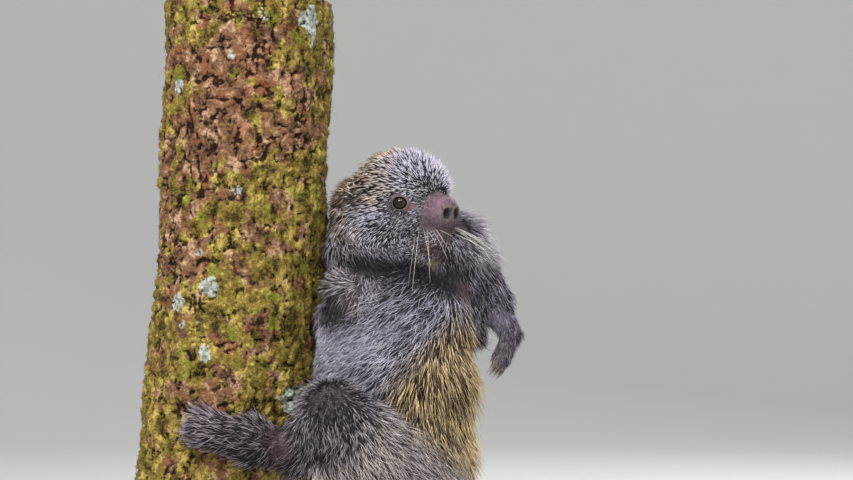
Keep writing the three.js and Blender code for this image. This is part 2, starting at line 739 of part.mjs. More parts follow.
// Colours and finishes, one material for each kind of surface
const finishes = {
  stand: { color: 0x2b2622, roughness: 0.45, metalness: 0 },
  rod: { color: 0x6f7073, roughness: 0.35, metalness: 0.9 },
  bark: { color: 0x6b6440, roughness: 0.95, metalness: 0 },
  coat: { color: 0x5d5651, roughness: 0.85, metalness: 0 },
  quills: { color: 0x8d7b55, roughness: 0.7, metalness: 0 },
  skin: { color: 0x9a6f6f, roughness: 0.6, metalness: 0 },
  eye: { color: 0x1c1210, roughness: 0.08, metalness: 0 },
};
const finishOf = (name) => {
  if (name === "stand_base") return "stand";
  if (name.startsWith("stand_rod")) return "rod";
  if (name === "perch_trunk") return "bark";
  if (name.startsWith("eye")) return "eye";
  if (name === "muzzle" || name.startsWith("ear") || name === "tail_tip") return "skin";
  return name.startsWith("torso") && name !== "torso_chest" ? "quills" : "coat";
};

const porcupine = new THREE.Group();
for (const [name, core] of cores) {
  const finish = new THREE.MeshStandardMaterial(finishes[finishOf(name)]);
  const whole = joined([core, ...(grown.get(name) ?? [])]);
  const mesh = new THREE.Mesh(geometryOf(largest(whole)), finish);
  mesh.name = name;
  porcupine.add(mesh);
}

export default porcupine;
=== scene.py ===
"""A life-size hairy dwarf porcupine on a short mossy trunk, over a plain display stand."""
import logging
import math
from collections.abc import Callable, Sequence
from dataclasses import astuple, dataclass, field, fields
from enum import Enum

import bpy
import numpy as np
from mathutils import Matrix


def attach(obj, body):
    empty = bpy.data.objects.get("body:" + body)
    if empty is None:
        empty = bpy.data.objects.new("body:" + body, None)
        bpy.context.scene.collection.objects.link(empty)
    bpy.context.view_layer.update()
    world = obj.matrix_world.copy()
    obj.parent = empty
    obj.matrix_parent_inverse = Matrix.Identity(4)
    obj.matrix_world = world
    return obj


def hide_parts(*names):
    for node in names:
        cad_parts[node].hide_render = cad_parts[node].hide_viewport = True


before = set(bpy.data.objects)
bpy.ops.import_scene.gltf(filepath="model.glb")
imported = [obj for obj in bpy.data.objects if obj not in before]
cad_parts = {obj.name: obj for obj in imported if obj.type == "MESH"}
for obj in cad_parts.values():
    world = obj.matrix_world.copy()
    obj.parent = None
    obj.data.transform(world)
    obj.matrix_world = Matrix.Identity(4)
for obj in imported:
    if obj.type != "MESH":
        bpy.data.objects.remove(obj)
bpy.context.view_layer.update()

MM = 0.001
# A distance that stands for far away, and how far round a form's box its distance is worked out
FAR = 60.0
BOX_MARGIN = 30.0
# The animal's left and right, and the corners of a cell
SIDES = (1, -1)
CORNERS = tuple(np.ndindex(2, 2, 2))
# The width that one strand takes on the map that its finish is baked on
BAKE_WIDTH = 0.003
UP = np.array([0.0, 0.0, 1.0])
WORLD = np.eye(3)
Array = np.ndarray
Triple = tuple[float, float, float]
Colour = Triple
Material = bpy.types.Material
log = logging.getLogger("porcupine")


# Numbers, vectors and noise
def norm(vectors: Array) -> Array:
    """The length of each vector."""
    return np.linalg.norm(vectors, axis=-1)


def unit(vectors: Array) -> Array:
    """Vectors scaled to length one."""
    return vectors / np.maximum(np.linalg.norm(vectors, axis=-1, keepdims=True), 1e-9)


def smooth(value: Array, low: float, high: float) -> Array:
    """A smooth step from 0 at low to 1 at high."""
    share = np.clip((value - low) / (high - low), 0.0, 1.0)
    return share * share * (3.0 - 2.0 * share)


def lerp(start: Array, end: Array, share: Array) -> Array:
    """The value a share of the way from start to end."""
    return start + (end - start) * share


def point(*numbers: float) -> Array:
    """A point or direction in millimetres."""
    return np.array(numbers, float)


def point_field(*numbers: float) -> Array:
    """A dataclass field that holds a point."""
    return field(default_factory=lambda: point(*numbers))


def srgb(red: int, green: int, blue: int) -> Colour:
    """A linear colour from the usual screen numbers."""
    shares = [channel / 255 for channel in (red, green, blue)]
    return tuple(s / 12.92 if s <= 0.04045 else ((s + 0.055) / 1.055) ** 2.4 for s in shares)


def blend_in(colour: Array, tint: Colour, share: Array) -> Array:
    """Colours drawn towards a tint, by a share for each."""
    return lerp(colour, np.array(tint), share[:, None])


class Noise:
    """Smooth random values in space, the same on every run."""

    SIZE = 32

    def __init__(self, seed: int) -> None:
        """Args:
            seed: picks the pattern.
        """
        self.lattice = np.random.default_rng(seed).random((self.SIZE,) * 3)

    def at(self, points: Array, scale: float) -> Array:
        """Values from -1 to 1.

        Args:
            points: places in millimetres.
            scale: the size of one lump.

        Returns:
            One value for each place.
        """
        places = points / scale + 100.0
        cell = np.floor(places).astype(int)
        share = places - cell
        share = share * share * (3 - 2 * share)
        total = np.zeros(len(points))
        for corner in CORNERS:
            index = (cell + corner) % self.SIZE
            weight = np.prod(np.where(np.array(corner) == 1, share, 1 - share), axis=1)
            total += weight * self.lattice[index[:, 0], index[:, 1], index[:, 2]]
        return 2.0 * total - 1.0

    def layered(self, points: Array, scale: float, octaves: int = 3) -> Array:
        """Noise with finer and fainter layers on top of one another."""
        layers = [self.at(points, scale / 2**i) / 2**i for i in range(octaves)]
        return np.sum(layers, axis=0) / (2 - 2 ** (1 - octaves))


# Rounded forms as fields of distance
@dataclass(frozen=True)
class Ellipsoid:
    """An egg shape with its half sizes along its own axes."""

    centre: Array
    half: Array
    axes: Array = field(default_factory=lambda: WORLD)

    def distance(self, points: Array) -> Array:
        """Rough signed distance, under 0 inside."""
        local = ((points - self.centre) @ self.axes.T) / self.half
        near = norm(local)
        slope = np.maximum(norm(local / self.half), 1e-9)
        return near * (near - 1) / slope

    def box(self) -> tuple[Array, Array]:
        """The lowest and highest corner."""
        reach = np.full(3, float(np.max(self.half)))
        return self.centre - reach, self.centre + reach


@dataclass(frozen=True)
class Bone:
    """A rounded length that tapers from one radius to another."""

    start: Array
    end: Array
    start_radius: float
    end_radius: float

    def share(self, points: Array) -> Array:
        """How far along the length each point lies, from 0 to 1."""
        along = self.end - self.start
        return np.clip(((points - self.start) @ along) / (along @ along), 0.0, 1.0)

    def distance(self, points: Array) -> Array:
        """Signed distance, under 0 inside."""
        share = self.share(points)
        nearest = self.start + share[:, None] * (self.end - self.start)
        radius = lerp(self.start_radius, self.end_radius, share)
        return norm(points - nearest) - radius

    def box(self) -> tuple[Array, Array]:
        """The lowest and highest corner."""
        radius = max(self.start_radius, self.end_radius)
        return np.minimum(self.start, self.end) - radius, np.maximum(self.start, self.end) + radius


def melt(first: Array, second: Array, softness: float) -> Array:
    """The smaller of two distances, with a soft fillet where they are near each other."""
    overlap = np.maximum(softness - np.abs(first - second), 0.0)
    return np.minimum(first, second) - overlap * overlap / (4.0 * softness)


def carve(body: Array, tool: Array, softness: float) -> Array:
    """A body's distance with a tool's shape cut out of it."""
    return -melt(-body, tool, softness)


def close_to(form: "Ellipsoid | Bone | Blend", points: Array) -> Array:
    """Which points are in a form's box or near it."""
    low, high = form.box()
    return np.all((points > low - BOX_MARGIN) & (points < high + BOX_MARGIN), axis=1)


@dataclass(frozen=True)
class Blend:
    """Forms that flow into one another."""

    forms: tuple
    softness: float

    def distance(self, points: Array) -> Array:
        """Signed distance, worked out only for the points near each form."""
        total = np.full(len(points), FAR)
        for form in self.forms:
            near = close_to(form, points)
            if near.any():
                total[near] = melt(total[near], form.distance(points[near]), self.softness)
        return total

    def box(self) -> tuple[Array, Array]:
        """The lowest and highest corner."""
        boxes = [form.box() for form in self.forms]
        return np.min([b[0] for b in boxes], axis=0), np.max([b[1] for b in boxes], axis=0)


# The trunk and the head's own frame
@dataclass(frozen=True)
class TrunkShape:
    """The leaning, tapering trunk, in millimetres."""

    length: float = 545.0
    foot_x: float = -63.0
    lean: float = 0.054
    foot_radius: float = 66.0
    top_radius: float = 61.5
    bottom: float = 58.6
    bow: Triple = (241.0, 605.0, 4.8)
    ridge_forms: tuple[tuple[int, float, float], ...] = ((2, 0.8, 90.0), (5, 0.9, 29.0), (7, 1.2, -23.0))

    def centre(self, heights: Array) -> Array:
        """Points on the middle line."""
        heights = np.asarray(heights, float)
        low, high, most = self.bow
        bowed = most * np.sin(np.pi * np.clip((heights - low) / (high - low), 0, 1))
        x = self.foot_x + self.lean * (heights - self.bottom) + bowed
        return np.stack([x, np.zeros_like(x), heights], axis=-1)

    def radius(self, heights: Array) -> Array:
        """Radius at each height."""
        share = (np.asarray(heights, float) - self.bottom) / self.length
        return lerp(self.foot_radius, self.top_radius, share)

    def ridges(self, turn: Array, heights: Array) -> Array:
        """The bark's main ridges: each has a count round the trunk, a height and a climb per radian."""
        return sum(high * np.sin(count * turn + heights / climb) for count, high, climb in self.ridge_forms)

    def outwards(self, angle: float) -> Array:
        """The level direction out of the trunk at an angle in degrees."""
        return point(math.cos(math.radians(angle)), math.sin(math.radians(angle)), 0)

    def around(self, angle: float, height: float, clearance: float) -> Array:
        """A place round the trunk, some way off its bark."""
        return self.centre(height) + self.outwards(angle) * (self.radius(height) + clearance)

    def distance(self, points: Array) -> Array:
        """Distance of points from the plain bark, level outwards."""
        offset = (points - self.centre(points[:, 2]))[:, :2]
        return norm(offset) - self.radius(points[:, 2])


@dataclass(frozen=True)
class HeadFrame:
    """Forward, left and up from the middle of the skull."""

    yaw: float = 50.0
    middle: Array = point_field(70, 2, 449.5)

    @property
    def forward(self) -> Array:
        """The way the nose points."""
        return point(math.sin(math.radians(self.yaw)), -math.cos(math.radians(self.yaw)), 0)

    @property
    def leftward(self) -> Array:
        """The animal's own left."""
        return np.cross(UP, self.forward)

    @property
    def axes(self) -> Array:
        """The frame's three directions as rows."""
        return np.array([self.forward, self.leftward, UP])

    def at(self, ahead: float, left: float, above: float) -> Array:
        """A place on or in the head."""
        return self.middle + point(ahead, left, above) @ self.axes

    def local(self, points: Array) -> Array:
        """Points as ahead, left and above."""
        return (points - self.middle) @ self.axes.T

    def egg(self, place: Sequence[float], half: Sequence[float]) -> Ellipsoid:
        """An egg shape set along the head."""
        return Ellipsoid(self.at(*place), point(*half), self.axes)


@dataclass(frozen=True)
class PhotoView:
    """The photograph's camera, in millimetres and pixels."""

    place: Array = point_field(101.7, -2000, 423)
    width: float = 853.0
    height: float = 480.0
    focal: float = 2632.7
    first_step: float = 1800.0
    steps: int = 80
    stride: float = 0.7

    def meets(self, across: float, down: float, distance: Callable[[Array], Array]) -> Array:
        """The place of a surface that one pixel shows.

        Args:
            across: the pixel's column.
            down: its row.
            distance: the surface as a field of distance.

        Returns:
            The place in millimetres.
        """
        way = unit(point(across - self.width / 2, self.focal, self.height / 2 - down))
        travelled = self.first_step
        for _ in range(self.steps):
            travelled += self.stride * float(distance((self.place + way * travelled)[None])[0])
        return self.place + way * travelled


TRUNK = TrunkShape()
HEAD = HeadFrame()
VIEW = PhotoView()


# The animal
@dataclass(frozen=True)
class Digit:
    """A finger or toe with its claw."""

    form: Bone
    claw_root: Array
    aim: Array
    hook: Array
    claw_length: float


@dataclass(frozen=True)
class EyeSizes:
    """The eyes, their lids and the almond opening between them."""

    ahead: float = 35.5
    side: float = 22.2
    above: float = 1.0
    radius: float = 6.2
    lid: float = 1.25
    gap: float = 0.12
    slit: Triple = (6.2, 4.8, 5.5)

    def centre(self, side: int) -> Array:
        """The middle of one eye."""
        return HEAD.at(self.ahead, side * self.side, self.above)

    def gaze(self, side: int) -> Array:
        """The way one eye looks."""
        return unit(HEAD.forward * 0.42 + HEAD.leftward * side)

    def axes(self, side: int) -> Array:
        """Across, along the lids' height, and out of one eye, as rows."""
        aim = self.gaze(side)
        across = unit(np.cross(UP, aim))
        return np.array([across, np.cross(aim, across), aim])

    def corner(self, side: int) -> Bone:
        """The bare corner between the eye and the nose, as a rounded length."""
        return Bone(HEAD.at(41.0, side * 22.0, -0.5), HEAD.at(46.5, side * 18, -1.5), 4.8, 1.6)


EYE = EyeSizes()


@dataclass
class Part:
    """A named length of the body, with the way its coat lies and the axis that unwraps it."""

    name: str
    form: Blend | Bone
    join: float
    inset: float
    start: Array
    end: Array

    def distance(self, points: Array) -> Array:
        """Signed distance from the skin of this part."""
        total = np.full(len(points), FAR)
        near = close_to(self.form, points)
        if near.any():
            total[near] = self.form.distance(points[near]) + self.inset
        return total

    def unwrap(self, points: Array) -> Array:
        """The part's surface laid flat, as an angle and a length, both from 0 to 1."""
        axis = unit(self.end - self.start)
        beside = unit(np.cross(axis, point(0.3, -1, 0.2)))
        offset = points - self.start
        along = offset @ axis / norm(self.end - self.start)
        turn = np.arctan2(offset @ np.cross(axis, beside), offset @ beside)
        return np.stack([turn / (2 * np.pi) + 0.5, np.clip(0.15 + 0.7 * along, 0.0, 1.0)], axis=1)


@dataclass
class Anatomy:
    """Places on the body, its joints, and the forms built on them, all in millimetres."""

    rump: Array = point_field(88, -20, 222)
    hips: Array = point_field(80, -24, 266)
    middle: Array = point_field(79, -21, 316)
    chest: Array = point_field(84, -9, 362)
    shoulders: Array = point_field(80, -2, 388)
    toe_places: tuple[float, ...] = (-1.5, -0.5, 0.5, 1.5)
    toe_radius: float = 4.0
    toe_claw: float = 10.0
    toe_root_off: float = 6.0
    toe_tip_off: float = 5.0
    finger_radius: float = 3.2
    finger_length: float = 9.0
    finger_claw: float = 8.0
    grip_height: float = 385.0
    grip_tip: float = 41.0
    foot_radii: tuple[float, ...] = (12, 13.5, 11)
    foot_off: float = 0.4
    tail_radii: tuple[float, ...] = (23, 17, 13.5, 11.5, 10, 8.8, 7.6, 6.4, 5.2, 4.2)
    tail_angles: tuple[float, ...] = (-22, -48, -76, -104, -130, -152, -168)
    tail_heights: tuple[float, ...] = (127, 119, 111, 104, 98, 93, 90)
    torso_inset: float = 3.0
    limb_inset: float = 2.0
    hand_inset: float = 0.8
    hand_softness: float = 2.2

    def __post_init__(self) -> None:
        """Builds every part from the places."""
        self.nape = HEAD.at(-9, 0, -17)
        self.digits: list[Digit] = []
        self.parts: list[Part] = [self.torso(), self.head(), self.muzzle(), self.jaw()]
        self.parts += self.left_arm() + self.right_arm()
        self.parts += self.leg("left", point(88, -46, 244), point(34, -88, 298), point(5, -54, 266),
                               (-40, -72, -98, -117), (267, 276, 284, 290))
        self.parts += self.leg("right", point(86, 6, 244), point(40, 62, 290), point(-2, 54, 262),
                               (45, 76, 100, 118), (261, 266, 273, 279))
        self.parts.append(self.tail())
        self.names = [part.name for part in self.parts]

    def torso(self) -> Part:
        """Rump, belly, chest and neck."""
        forms = (
            Ellipsoid(self.rump, point(49, 46, 45)),
            Ellipsoid(self.hips, point(55, 52, 50)),
            Ellipsoid(self.middle, point(58, 50, 58)),
            Ellipsoid(self.chest, point(52, 46, 42)),
            Bone(self.chest, self.shoulders, 42, 40),
            Bone(self.shoulders, self.nape, 39, 31),
            Ellipsoid(point(59, -34, 322), point(42, 30, 50)),
            Ellipsoid(point(60, -26, 358), point(38, 28, 28)),
            Ellipsoid(point(55, -3, 416), point(30, 28, 28)),
            Ellipsoid(point(44, -8, 367), point(22, 22, 17)),
        )
        return Part("torso", Blend(forms, 16), 0.0, self.torso_inset, self.rump, self.nape)

    def head(self) -> Part:
        """The skull and cheeks."""
        forms = (
            HEAD.egg((16, 0, 8.5), (37, 30.5, 30)),
            HEAD.egg((-14, 0, -6), (25, 28, 27)),
            HEAD.egg((6, 16, -14), (27, 18, 20)),
            HEAD.egg((6, -16, -14), (27, 18, 20)),
            HEAD.egg((37, 0, -8), (21, 16.5, 17)),
        )
        return Part("head", Blend(forms, 9), 6.0, 0.4, HEAD.at(-35, 0, -3), HEAD.at(60, 0, -5))

    def muzzle(self) -> Part:
        """The bulb of the nose and the upper lips."""
        forms = (
            HEAD.egg((45, 0, -11), (16, 13, 12)),
            HEAD.egg((56.5, 0, -6.5), (13, 14, 13.5)),
            HEAD.egg((48, 4.5, -24.5), (11, 8, 9.5)),
            HEAD.egg((48, -4.5, -24.5), (11, 8, 9.5)),
        )
        return Part("muzzle", Blend(forms, 5), 5.0, 0.1, HEAD.at(40, 0, -12), HEAD.at(75, 0, -12))

    def jaw(self) -> Part:
        """The lower jaw and chin."""
        bone = Bone(HEAD.at(16, 0, -25), HEAD.at(43, 0, -33), 14, 9)
        return Part("jaw", bone, 5.0, 1.0, bone.start, bone.end)

    def limb(self, name: str, start: Array, end: Array, radii: tuple[float, float], join: float) -> Part:
        """One length of a limb."""
        return Part(name, Bone(start, end, *radii), join, self.limb_inset, start, end)

    def digit(self, start: Array, end: Array, radius: float, hook: Array, claw: float) -> Bone:
        """A digit's form, with its claw noted.

        Args:
            start: where it leaves the palm or sole.
            end: the middle of its tip.
            radius: its girth at the start.
            hook: the way its claw bends.
            claw: the claw's length.

        Returns:
            The digit's bone.
        """
        form = Bone(start, end, radius, radius * 0.8)
        aim = unit(end - start)
        self.digits.append(Digit(form, end - aim * radius * 0.3, aim, hook, claw))
        return form

    def left_arm(self) -> list[Part]:
        """The arm that hangs free on the trunk's far side from the camera's left."""
        shoulder, elbow = point(118, 4, 413), point(150, 11, 377)
        wrist, fingers = point(166, -2, 351), point(159, -5, 334)
        down = unit(fingers - wrist)
        across = unit(np.cross(down, point(0.8, -0.6, 0)))
        spacing, splay, hook = 3.6, 0.6, unit(point(-1, -0.3, 0))
        toes = []
        for place in self.toe_places:
            start = fingers + across * place * spacing
            end = start + down * self.finger_length + across * place * splay
            toes.append(self.digit(start, end, self.finger_radius, hook, self.finger_claw))
        hand = Blend((Bone(wrist, fingers, 7.5, 8), *toes), self.hand_softness)
        web = Bone(point(133, 2, 388), point(139, 0, 352), 17, 9)
        upper = Blend((Bone(shoulder, elbow, 31.5, 17.5), web), 8)
        return [
            Part("upper_arm_left", upper, 12, self.limb_inset, shoulder, elbow),
            self.limb("forearm_left", elbow, wrist, (14.5, 9), 6),
            Part("hand_left", hand, 4.0, self.hand_inset, wrist, fingers + down * self.finger_length),
        ]

    def right_arm(self) -> list[Part]:
        """The arm that holds the trunk."""
        shoulder, elbow, wrist = point(66, -4, 392), point(49, -37, 377), TRUNK.around(9, 387, 13)
        palm = TRUNK.around(24, self.grip_height, 10)
        spacing, splayed, hook = 4, 6, -TRUNK.outwards(50)
        toes = []
        for place in self.toe_places:
            start = TRUNK.around(28, self.grip_height + place * spacing, self.toe_root_off)
            end = TRUNK.around(self.grip_tip, self.grip_height + place * splayed, self.toe_tip_off)
            toes.append(self.digit(start, end, self.toe_radius, hook, self.toe_claw))
        hand = Blend((Bone(wrist, palm, 9.5, 9.5), *toes), self.hand_softness)
        tip = TRUNK.around(self.grip_tip, self.grip_height, self.toe_tip_off)
        swell = Ellipsoid(point(39, -31, 386), point(15, 15, 14))
        forearm = Blend((Bone(elbow, wrist, 14.5, 9), swell), 8)
        return [
            self.limb("upper_arm_right", shoulder, elbow, (22, 16), 10),
            Part("forearm_right", forearm, 5, self.limb_inset, elbow, wrist),
            Part("hand_right", hand, 4.0, self.hand_inset, wrist, tip),
        ]

    def leg(self, side: str, hip: Array, knee: Array, ankle: Array, angles: Sequence[float],
            heights: Sequence[float]) -> list[Part]:
        """A hind leg with its foot round the trunk.

        Args:
            side: left or right.
            hip, knee, ankle: its joints.
            angles: where round the trunk the heel, sole, toe roots and toe tips are.
            heights: how high they are.

        Returns:
            Thigh, shin and foot.
        """
        radii = self.foot_radii
        line = [TRUNK.around(angles[i], heights[i], radii[i] + self.foot_off) for i in range(3)]
        spacing, splayed, longest, shorter = 4.4, 6.5, 0.62, 0.08
        toes = []
        for place in self.toe_places:
            reach = longest * (1 - shorter * place * place)
            root = lerp(angles[1], angles[2], 0.8)
            start = TRUNK.around(root, heights[2] + place * spacing, self.toe_root_off)
            tip = lerp(angles[2], angles[3], reach)
            end = TRUNK.around(tip, heights[3] + place * splayed, self.toe_tip_off)
            toes.append(self.digit(start, end, self.toe_radius, -TRUNK.outwards(angles[3]), self.toe_claw))
        sole = Blend(tuple(Bone(line[i], line[i + 1], radii[i], radii[i + 1]) for i in range(2)), 8)
        foot = Blend((sole, *toes), 3.0)
        fold = Bone(lerp(knee, ankle, 0.5) + point(12, 0, -20), lerp(hip, knee, 0.15), 15, 27)
        thigh = Blend((Bone(hip, knee, 36, 21), fold), 10)
        return [
            Part(f"thigh_{side}", thigh, 14, self.limb_inset, hip, knee),
            self.limb(f"shin_{side}", knee, ankle, (20, 16), 8),
            Part(f"foot_{side}", foot, 7.0, 1.0, line[0],
                 TRUNK.around(angles[3], heights[3], self.toe_tip_off)),
        ]

    def tail(self) -> Part:
        """The tail, from the rump to the trunk and round it."""
        path = [point(98, -20, 192), point(84, -20, 160), point(52, -22, 139)]
        for angle, height, radius in zip(self.tail_angles, self.tail_heights, self.tail_radii[3:]):
            path.append(TRUNK.around(angle, height, radius + 0.6))
        self.tail_path = np.array(path)
        radii = self.tail_radii
        bones = [Bone(path[i], path[i + 1], radii[i], radii[i + 1]) for i in range(len(path) - 1)]
        return Part("tail", Blend(tuple(bones), 5), 12.0, 0.6, path[0], path[-1])


# Fields over the whole animal
@dataclass
class Flesh:
    """The whole animal's skin as one field, with the face's openings cut in it."""

    anatomy: Anatomy
    ear: Triple = (-9.0, 30.0, 1.0)
    ear_half: Triple = (8.0, 9.5, 3.4)
    ear_cup: Triple = (6.0, 7.4, 4.0)
    nose_yaw: float = 40.0
    nostril: Triple = (12.2, 4.4, -0.5)
    nostril_half: Triple = (6.5, 3.0, 4.1)
    lip_line: Triple = (56.0, 0.0, -33.5)
    lip_half: Triple = (9.0, 7.0, 0.6)
    face_reach: float = 85.0
    shared_reach: float = 5.0

    def __post_init__(self) -> None:
        """Builds the tools that shape the face."""
        self.nose = HeadFrame(self.nose_yaw, HEAD.at(56.5, 0, -6.5))
        self.globes, self.slits, self.ears, self.cups, self.nostrils = [], [], [], [], []
        for side in SIDES:
            self.globes.append(Ellipsoid(EYE.centre(side), np.full(3, EYE.radius)))
            front = EYE.centre(side) + EYE.gaze(side) * EYE.radius
            self.slits.append(Ellipsoid(front, point(*EYE.slit), EYE.axes(side)))
            outward = unit(HEAD.leftward * side + HEAD.forward * 0.35)
            along = unit(UP - outward * (UP @ outward))
            axes = np.array([np.cross(along, outward), along, outward])
            flap = HEAD.at(self.ear[0], side * self.ear[1], self.ear[2])
            self.ears.append(Ellipsoid(flap, point(*self.ear_half), axes))
            self.cups.append(Ellipsoid(flap + outward * self.ear_half[2], point(*self.ear_cup), axes))
            ahead, left, above = self.nostril
            self.nostrils.append(self.nose.egg((ahead, side * left, above), self.nostril_half))
        self.lips = HEAD.egg(self.lip_line, self.lip_half)
        self.groove = Bone(self.nose.at(14.2, 0, -4), HEAD.at(60, 0, -27), 0.8, 1.1)

    def distance(self, points: Array) -> Array:
        """Signed distance from the skin."""
        total = np.full(len(points), FAR)
        for part in self.anatomy.parts:
            total = melt(total, part.distance(points), part.join or 1.0)
        face = norm(points - HEAD.at(25, 0, 0)) < self.face_reach
        if face.any():
            total[face] = self.features(points[face], total[face])
        return total

    def features(self, points: Array, total: Array) -> Array:
        """The skin near the face, with ears, lids, nostrils and lips.

        Args:
            points: places near the head.
            total: the plain skin's distance there.

        Returns:
            The finished distance.
        """
        for ear, cup in zip(self.ears, self.cups):
            total = melt(total, ear.distance(points), softness=2.0)
            total = carve(total, cup.distance(points), softness=0.8)
        for globe, slit in zip(self.globes, self.slits):
            ball = globe.distance(points)
            total = melt(total, ball - EYE.lid, softness=2.5)
            total = carve(total, ball - EYE.gap, softness=0.2)
            total = carve(total, slit.distance(points), softness=0.5)
        for nostril in self.nostrils:
            total = carve(total, nostril.distance(points), softness=1.6)
        total = carve(total, self.lips.distance(points), softness=0.8)
        return carve(total, self.groove.distance(points), softness=1.0)

    def outward(self, points: Array, step: float = 0.4) -> Array:
        """The skin's outward direction at each point."""
        slopes = []
        for axis in WORLD:
            slopes.append(self.distance(points + axis * step) - self.distance(points - axis * step))
        return unit(np.stack(slopes, axis=1))

    def settle(self, points: Array, rounds: int = 2, most: float = 0.8) -> Array:
        """Points moved onto the skin along its slope."""
        for _ in range(rounds):
            step = np.clip(self.distance(points), -most, most)
            points = points - self.outward(points) * step[:, None]
        return points

    def nearness(self, points: Array) -> Array:
        """How much each part of the body owns each point, one row a point."""
        away = np.stack([part.distance(points) for part in self.anatomy.parts], axis=1)
        away -= away.min(axis=1, keepdims=True)
        weights = np.exp(-away / self.shared_reach)
        return weights / weights.sum(axis=1, keepdims=True)


def shifted(corner: Sequence[int], shape: Sequence[int]) -> tuple[slice, ...]:
    """The part of a grid that has this shape and starts at this corner."""
    return tuple(slice(c, c + n) for c, n in zip(corner, shape))


@dataclass
class Lattice:
    """An uneven grid over the animal, finest on the face, whose field becomes one closed surface."""

    flesh: Flesh
    low: Triple = (-118.0, -118.0, 78.0)
    high: Triple = (196.0, 106.0, 496.0)
    head_low: Triple = (36.0, -76.0, 408.0)
    head_high: Triple = (152.0, 48.0, 494.0)
    face_low: Triple = (74.0, -64.0, 414.0)
    face_high: Triple = (140.0, 8.0, 470.0)
    steps: Triple = (2.4, 1.3, 0.75)
    block: int = 4
    live_share: float = 0.8
    live_margin: float = 1.5

    def marks(self, axis: int) -> Array:
        """Where the grid's planes cross one axis.

        Args:
            axis: its number.

        Returns:
            Rising places in millimetres.
        """
        places = [self.low[axis]]
        coarse, middle, fine = self.steps
        while places[-1] < self.high[axis]:
            last = places[-1]
            step = coarse
            if self.head_low[axis] <= last < self.head_high[axis]:
                step = middle
            if self.face_low[axis] <= last < self.face_high[axis]:
                step = fine
            places.append(last + step)
        while (len(places) - 1) % self.block:
            places.append(places[-1] + coarse)
        return np.array(places)

    def values(self, marks: list[Array]) -> Array:
        """The field at every node, exact only near the skin.

        Args:
            marks: the grid's planes on each axis.

        Returns:
            An array of distances.
        """
        size = tuple(len(m) for m in marks)
        rough = [m[:: self.block] for m in marks]
        nodes = np.stack(np.meshgrid(*rough, indexing="ij"), axis=-1)
        away = self.flesh.distance(nodes.reshape(-1, 3)).reshape(nodes.shape[:3])
        least = np.full(tuple(n - 1 for n in away.shape), FAR)
        for corner in CORNERS:
            least = np.minimum(least, np.abs(away[shifted(corner, least.shape)]))
        gaps = np.stack(np.meshgrid(*[np.diff(m) for m in rough], indexing="ij"), axis=-1)
        live = least < self.live_share * norm(gaps) + self.live_margin
        grid = away[:-1, :-1, :-1]
        for axis in range(3):
            grid = np.repeat(grid, self.block, axis=axis)
            live = np.repeat(live, self.block, axis=axis)
        full = np.full(size, FAR)
        full[:-1, :-1, :-1] = grid
        near = np.zeros(size, bool)
        for corner in CORNERS:
            near[shifted(corner, live.shape)] |= live
        index = np.argwhere(near)
        places = np.stack([marks[a][index[:, a]] for a in range(3)], axis=1)
        full[near] = self.flesh.distance(places)
        return full

    def surface(self) -> tuple[Array, Array]:
        """Puts a vertex in every cell that the skin passes, and a face over every edge that it cuts.

        Returns:
            Vertices and four-sided faces.
        """
        marks = [self.marks(axis) for axis in range(3)]
        values = self.values(marks)
        inside = values < 0
        shape = tuple(n - 1 for n in values.shape)
        count = np.zeros(shape, int)
        for corner in CORNERS:
            count += inside[shifted(corner, shape)]
        cells = np.argwhere((count > 0) & (count < len(CORNERS)))
        number = np.full(shape, -1)
        number[tuple(cells.T)] = np.arange(len(cells))
        total, hits = np.zeros((len(cells), 3)), np.zeros(len(cells))
        for first in CORNERS:
            for axis in range(3):
                if first[axis]:
                    continue
                second = tuple(1 if a == axis else c for a, c in enumerate(first))
                ends = [cells + first, cells + second]
                a, b = (values[tuple(e.T)] for e in ends)
                cross = (a < 0) != (b < 0)
                share = np.where(cross, a / np.where(cross, a - b, 1.0), 0.0)
                start, end = (np.stack([marks[i][e[:, i]] for i in range(3)], axis=1) for e in ends)
                total += np.where(cross[:, None], lerp(start, end, share[:, None]), 0.0)
                hits += cross
        vertices = total / hits[:, None]
        faces = []
        for axis in range(3):
            one, two = [a for a in range(3) if a != axis]
            first = inside[tuple(slice(None, -1) if a == axis else slice(1, -1) for a in range(3))]
            second = inside[tuple(slice(1, None) if a == axis else slice(1, -1) for a in range(3))]
            edges = np.argwhere(first != second)
            leaving = first[tuple(edges.T)]
            ring = []
            for on_one, on_two in ((0, 0), (1, 0), (1, 1), (0, 1)):
                cell = edges.copy()
                cell[:, one] += on_one
                cell[:, two] += on_two
                ring.append(number[tuple(cell.T)])
            quad = np.stack(ring, axis=1)
            flip = leaving if axis != 1 else ~leaving
            quad[~flip] = quad[~flip][:, ::-1]
            faces.append(quad)
        return self.flesh.settle(vertices), np.concatenate(faces)


# Meshes
def bands(rings: int, sides: int) -> Array:
    """Four-sided faces between rings of vertices that follow one another."""
    index = np.arange((rings - 1) * sides).reshape(-1, sides)
    after = np.roll(index, -1, axis=1)
    return np.stack([index, after, after + sides, index + sides], axis=-1).reshape(-1, 4)


def fan(first: int, sides: int, hub: int) -> Array:
    """Three-sided faces from the ring that starts at one vertex to the vertex at its hub."""
    rim = first + np.arange(sides)
    return np.stack([rim, np.roll(rim, -1), np.full(sides, hub)], axis=1)


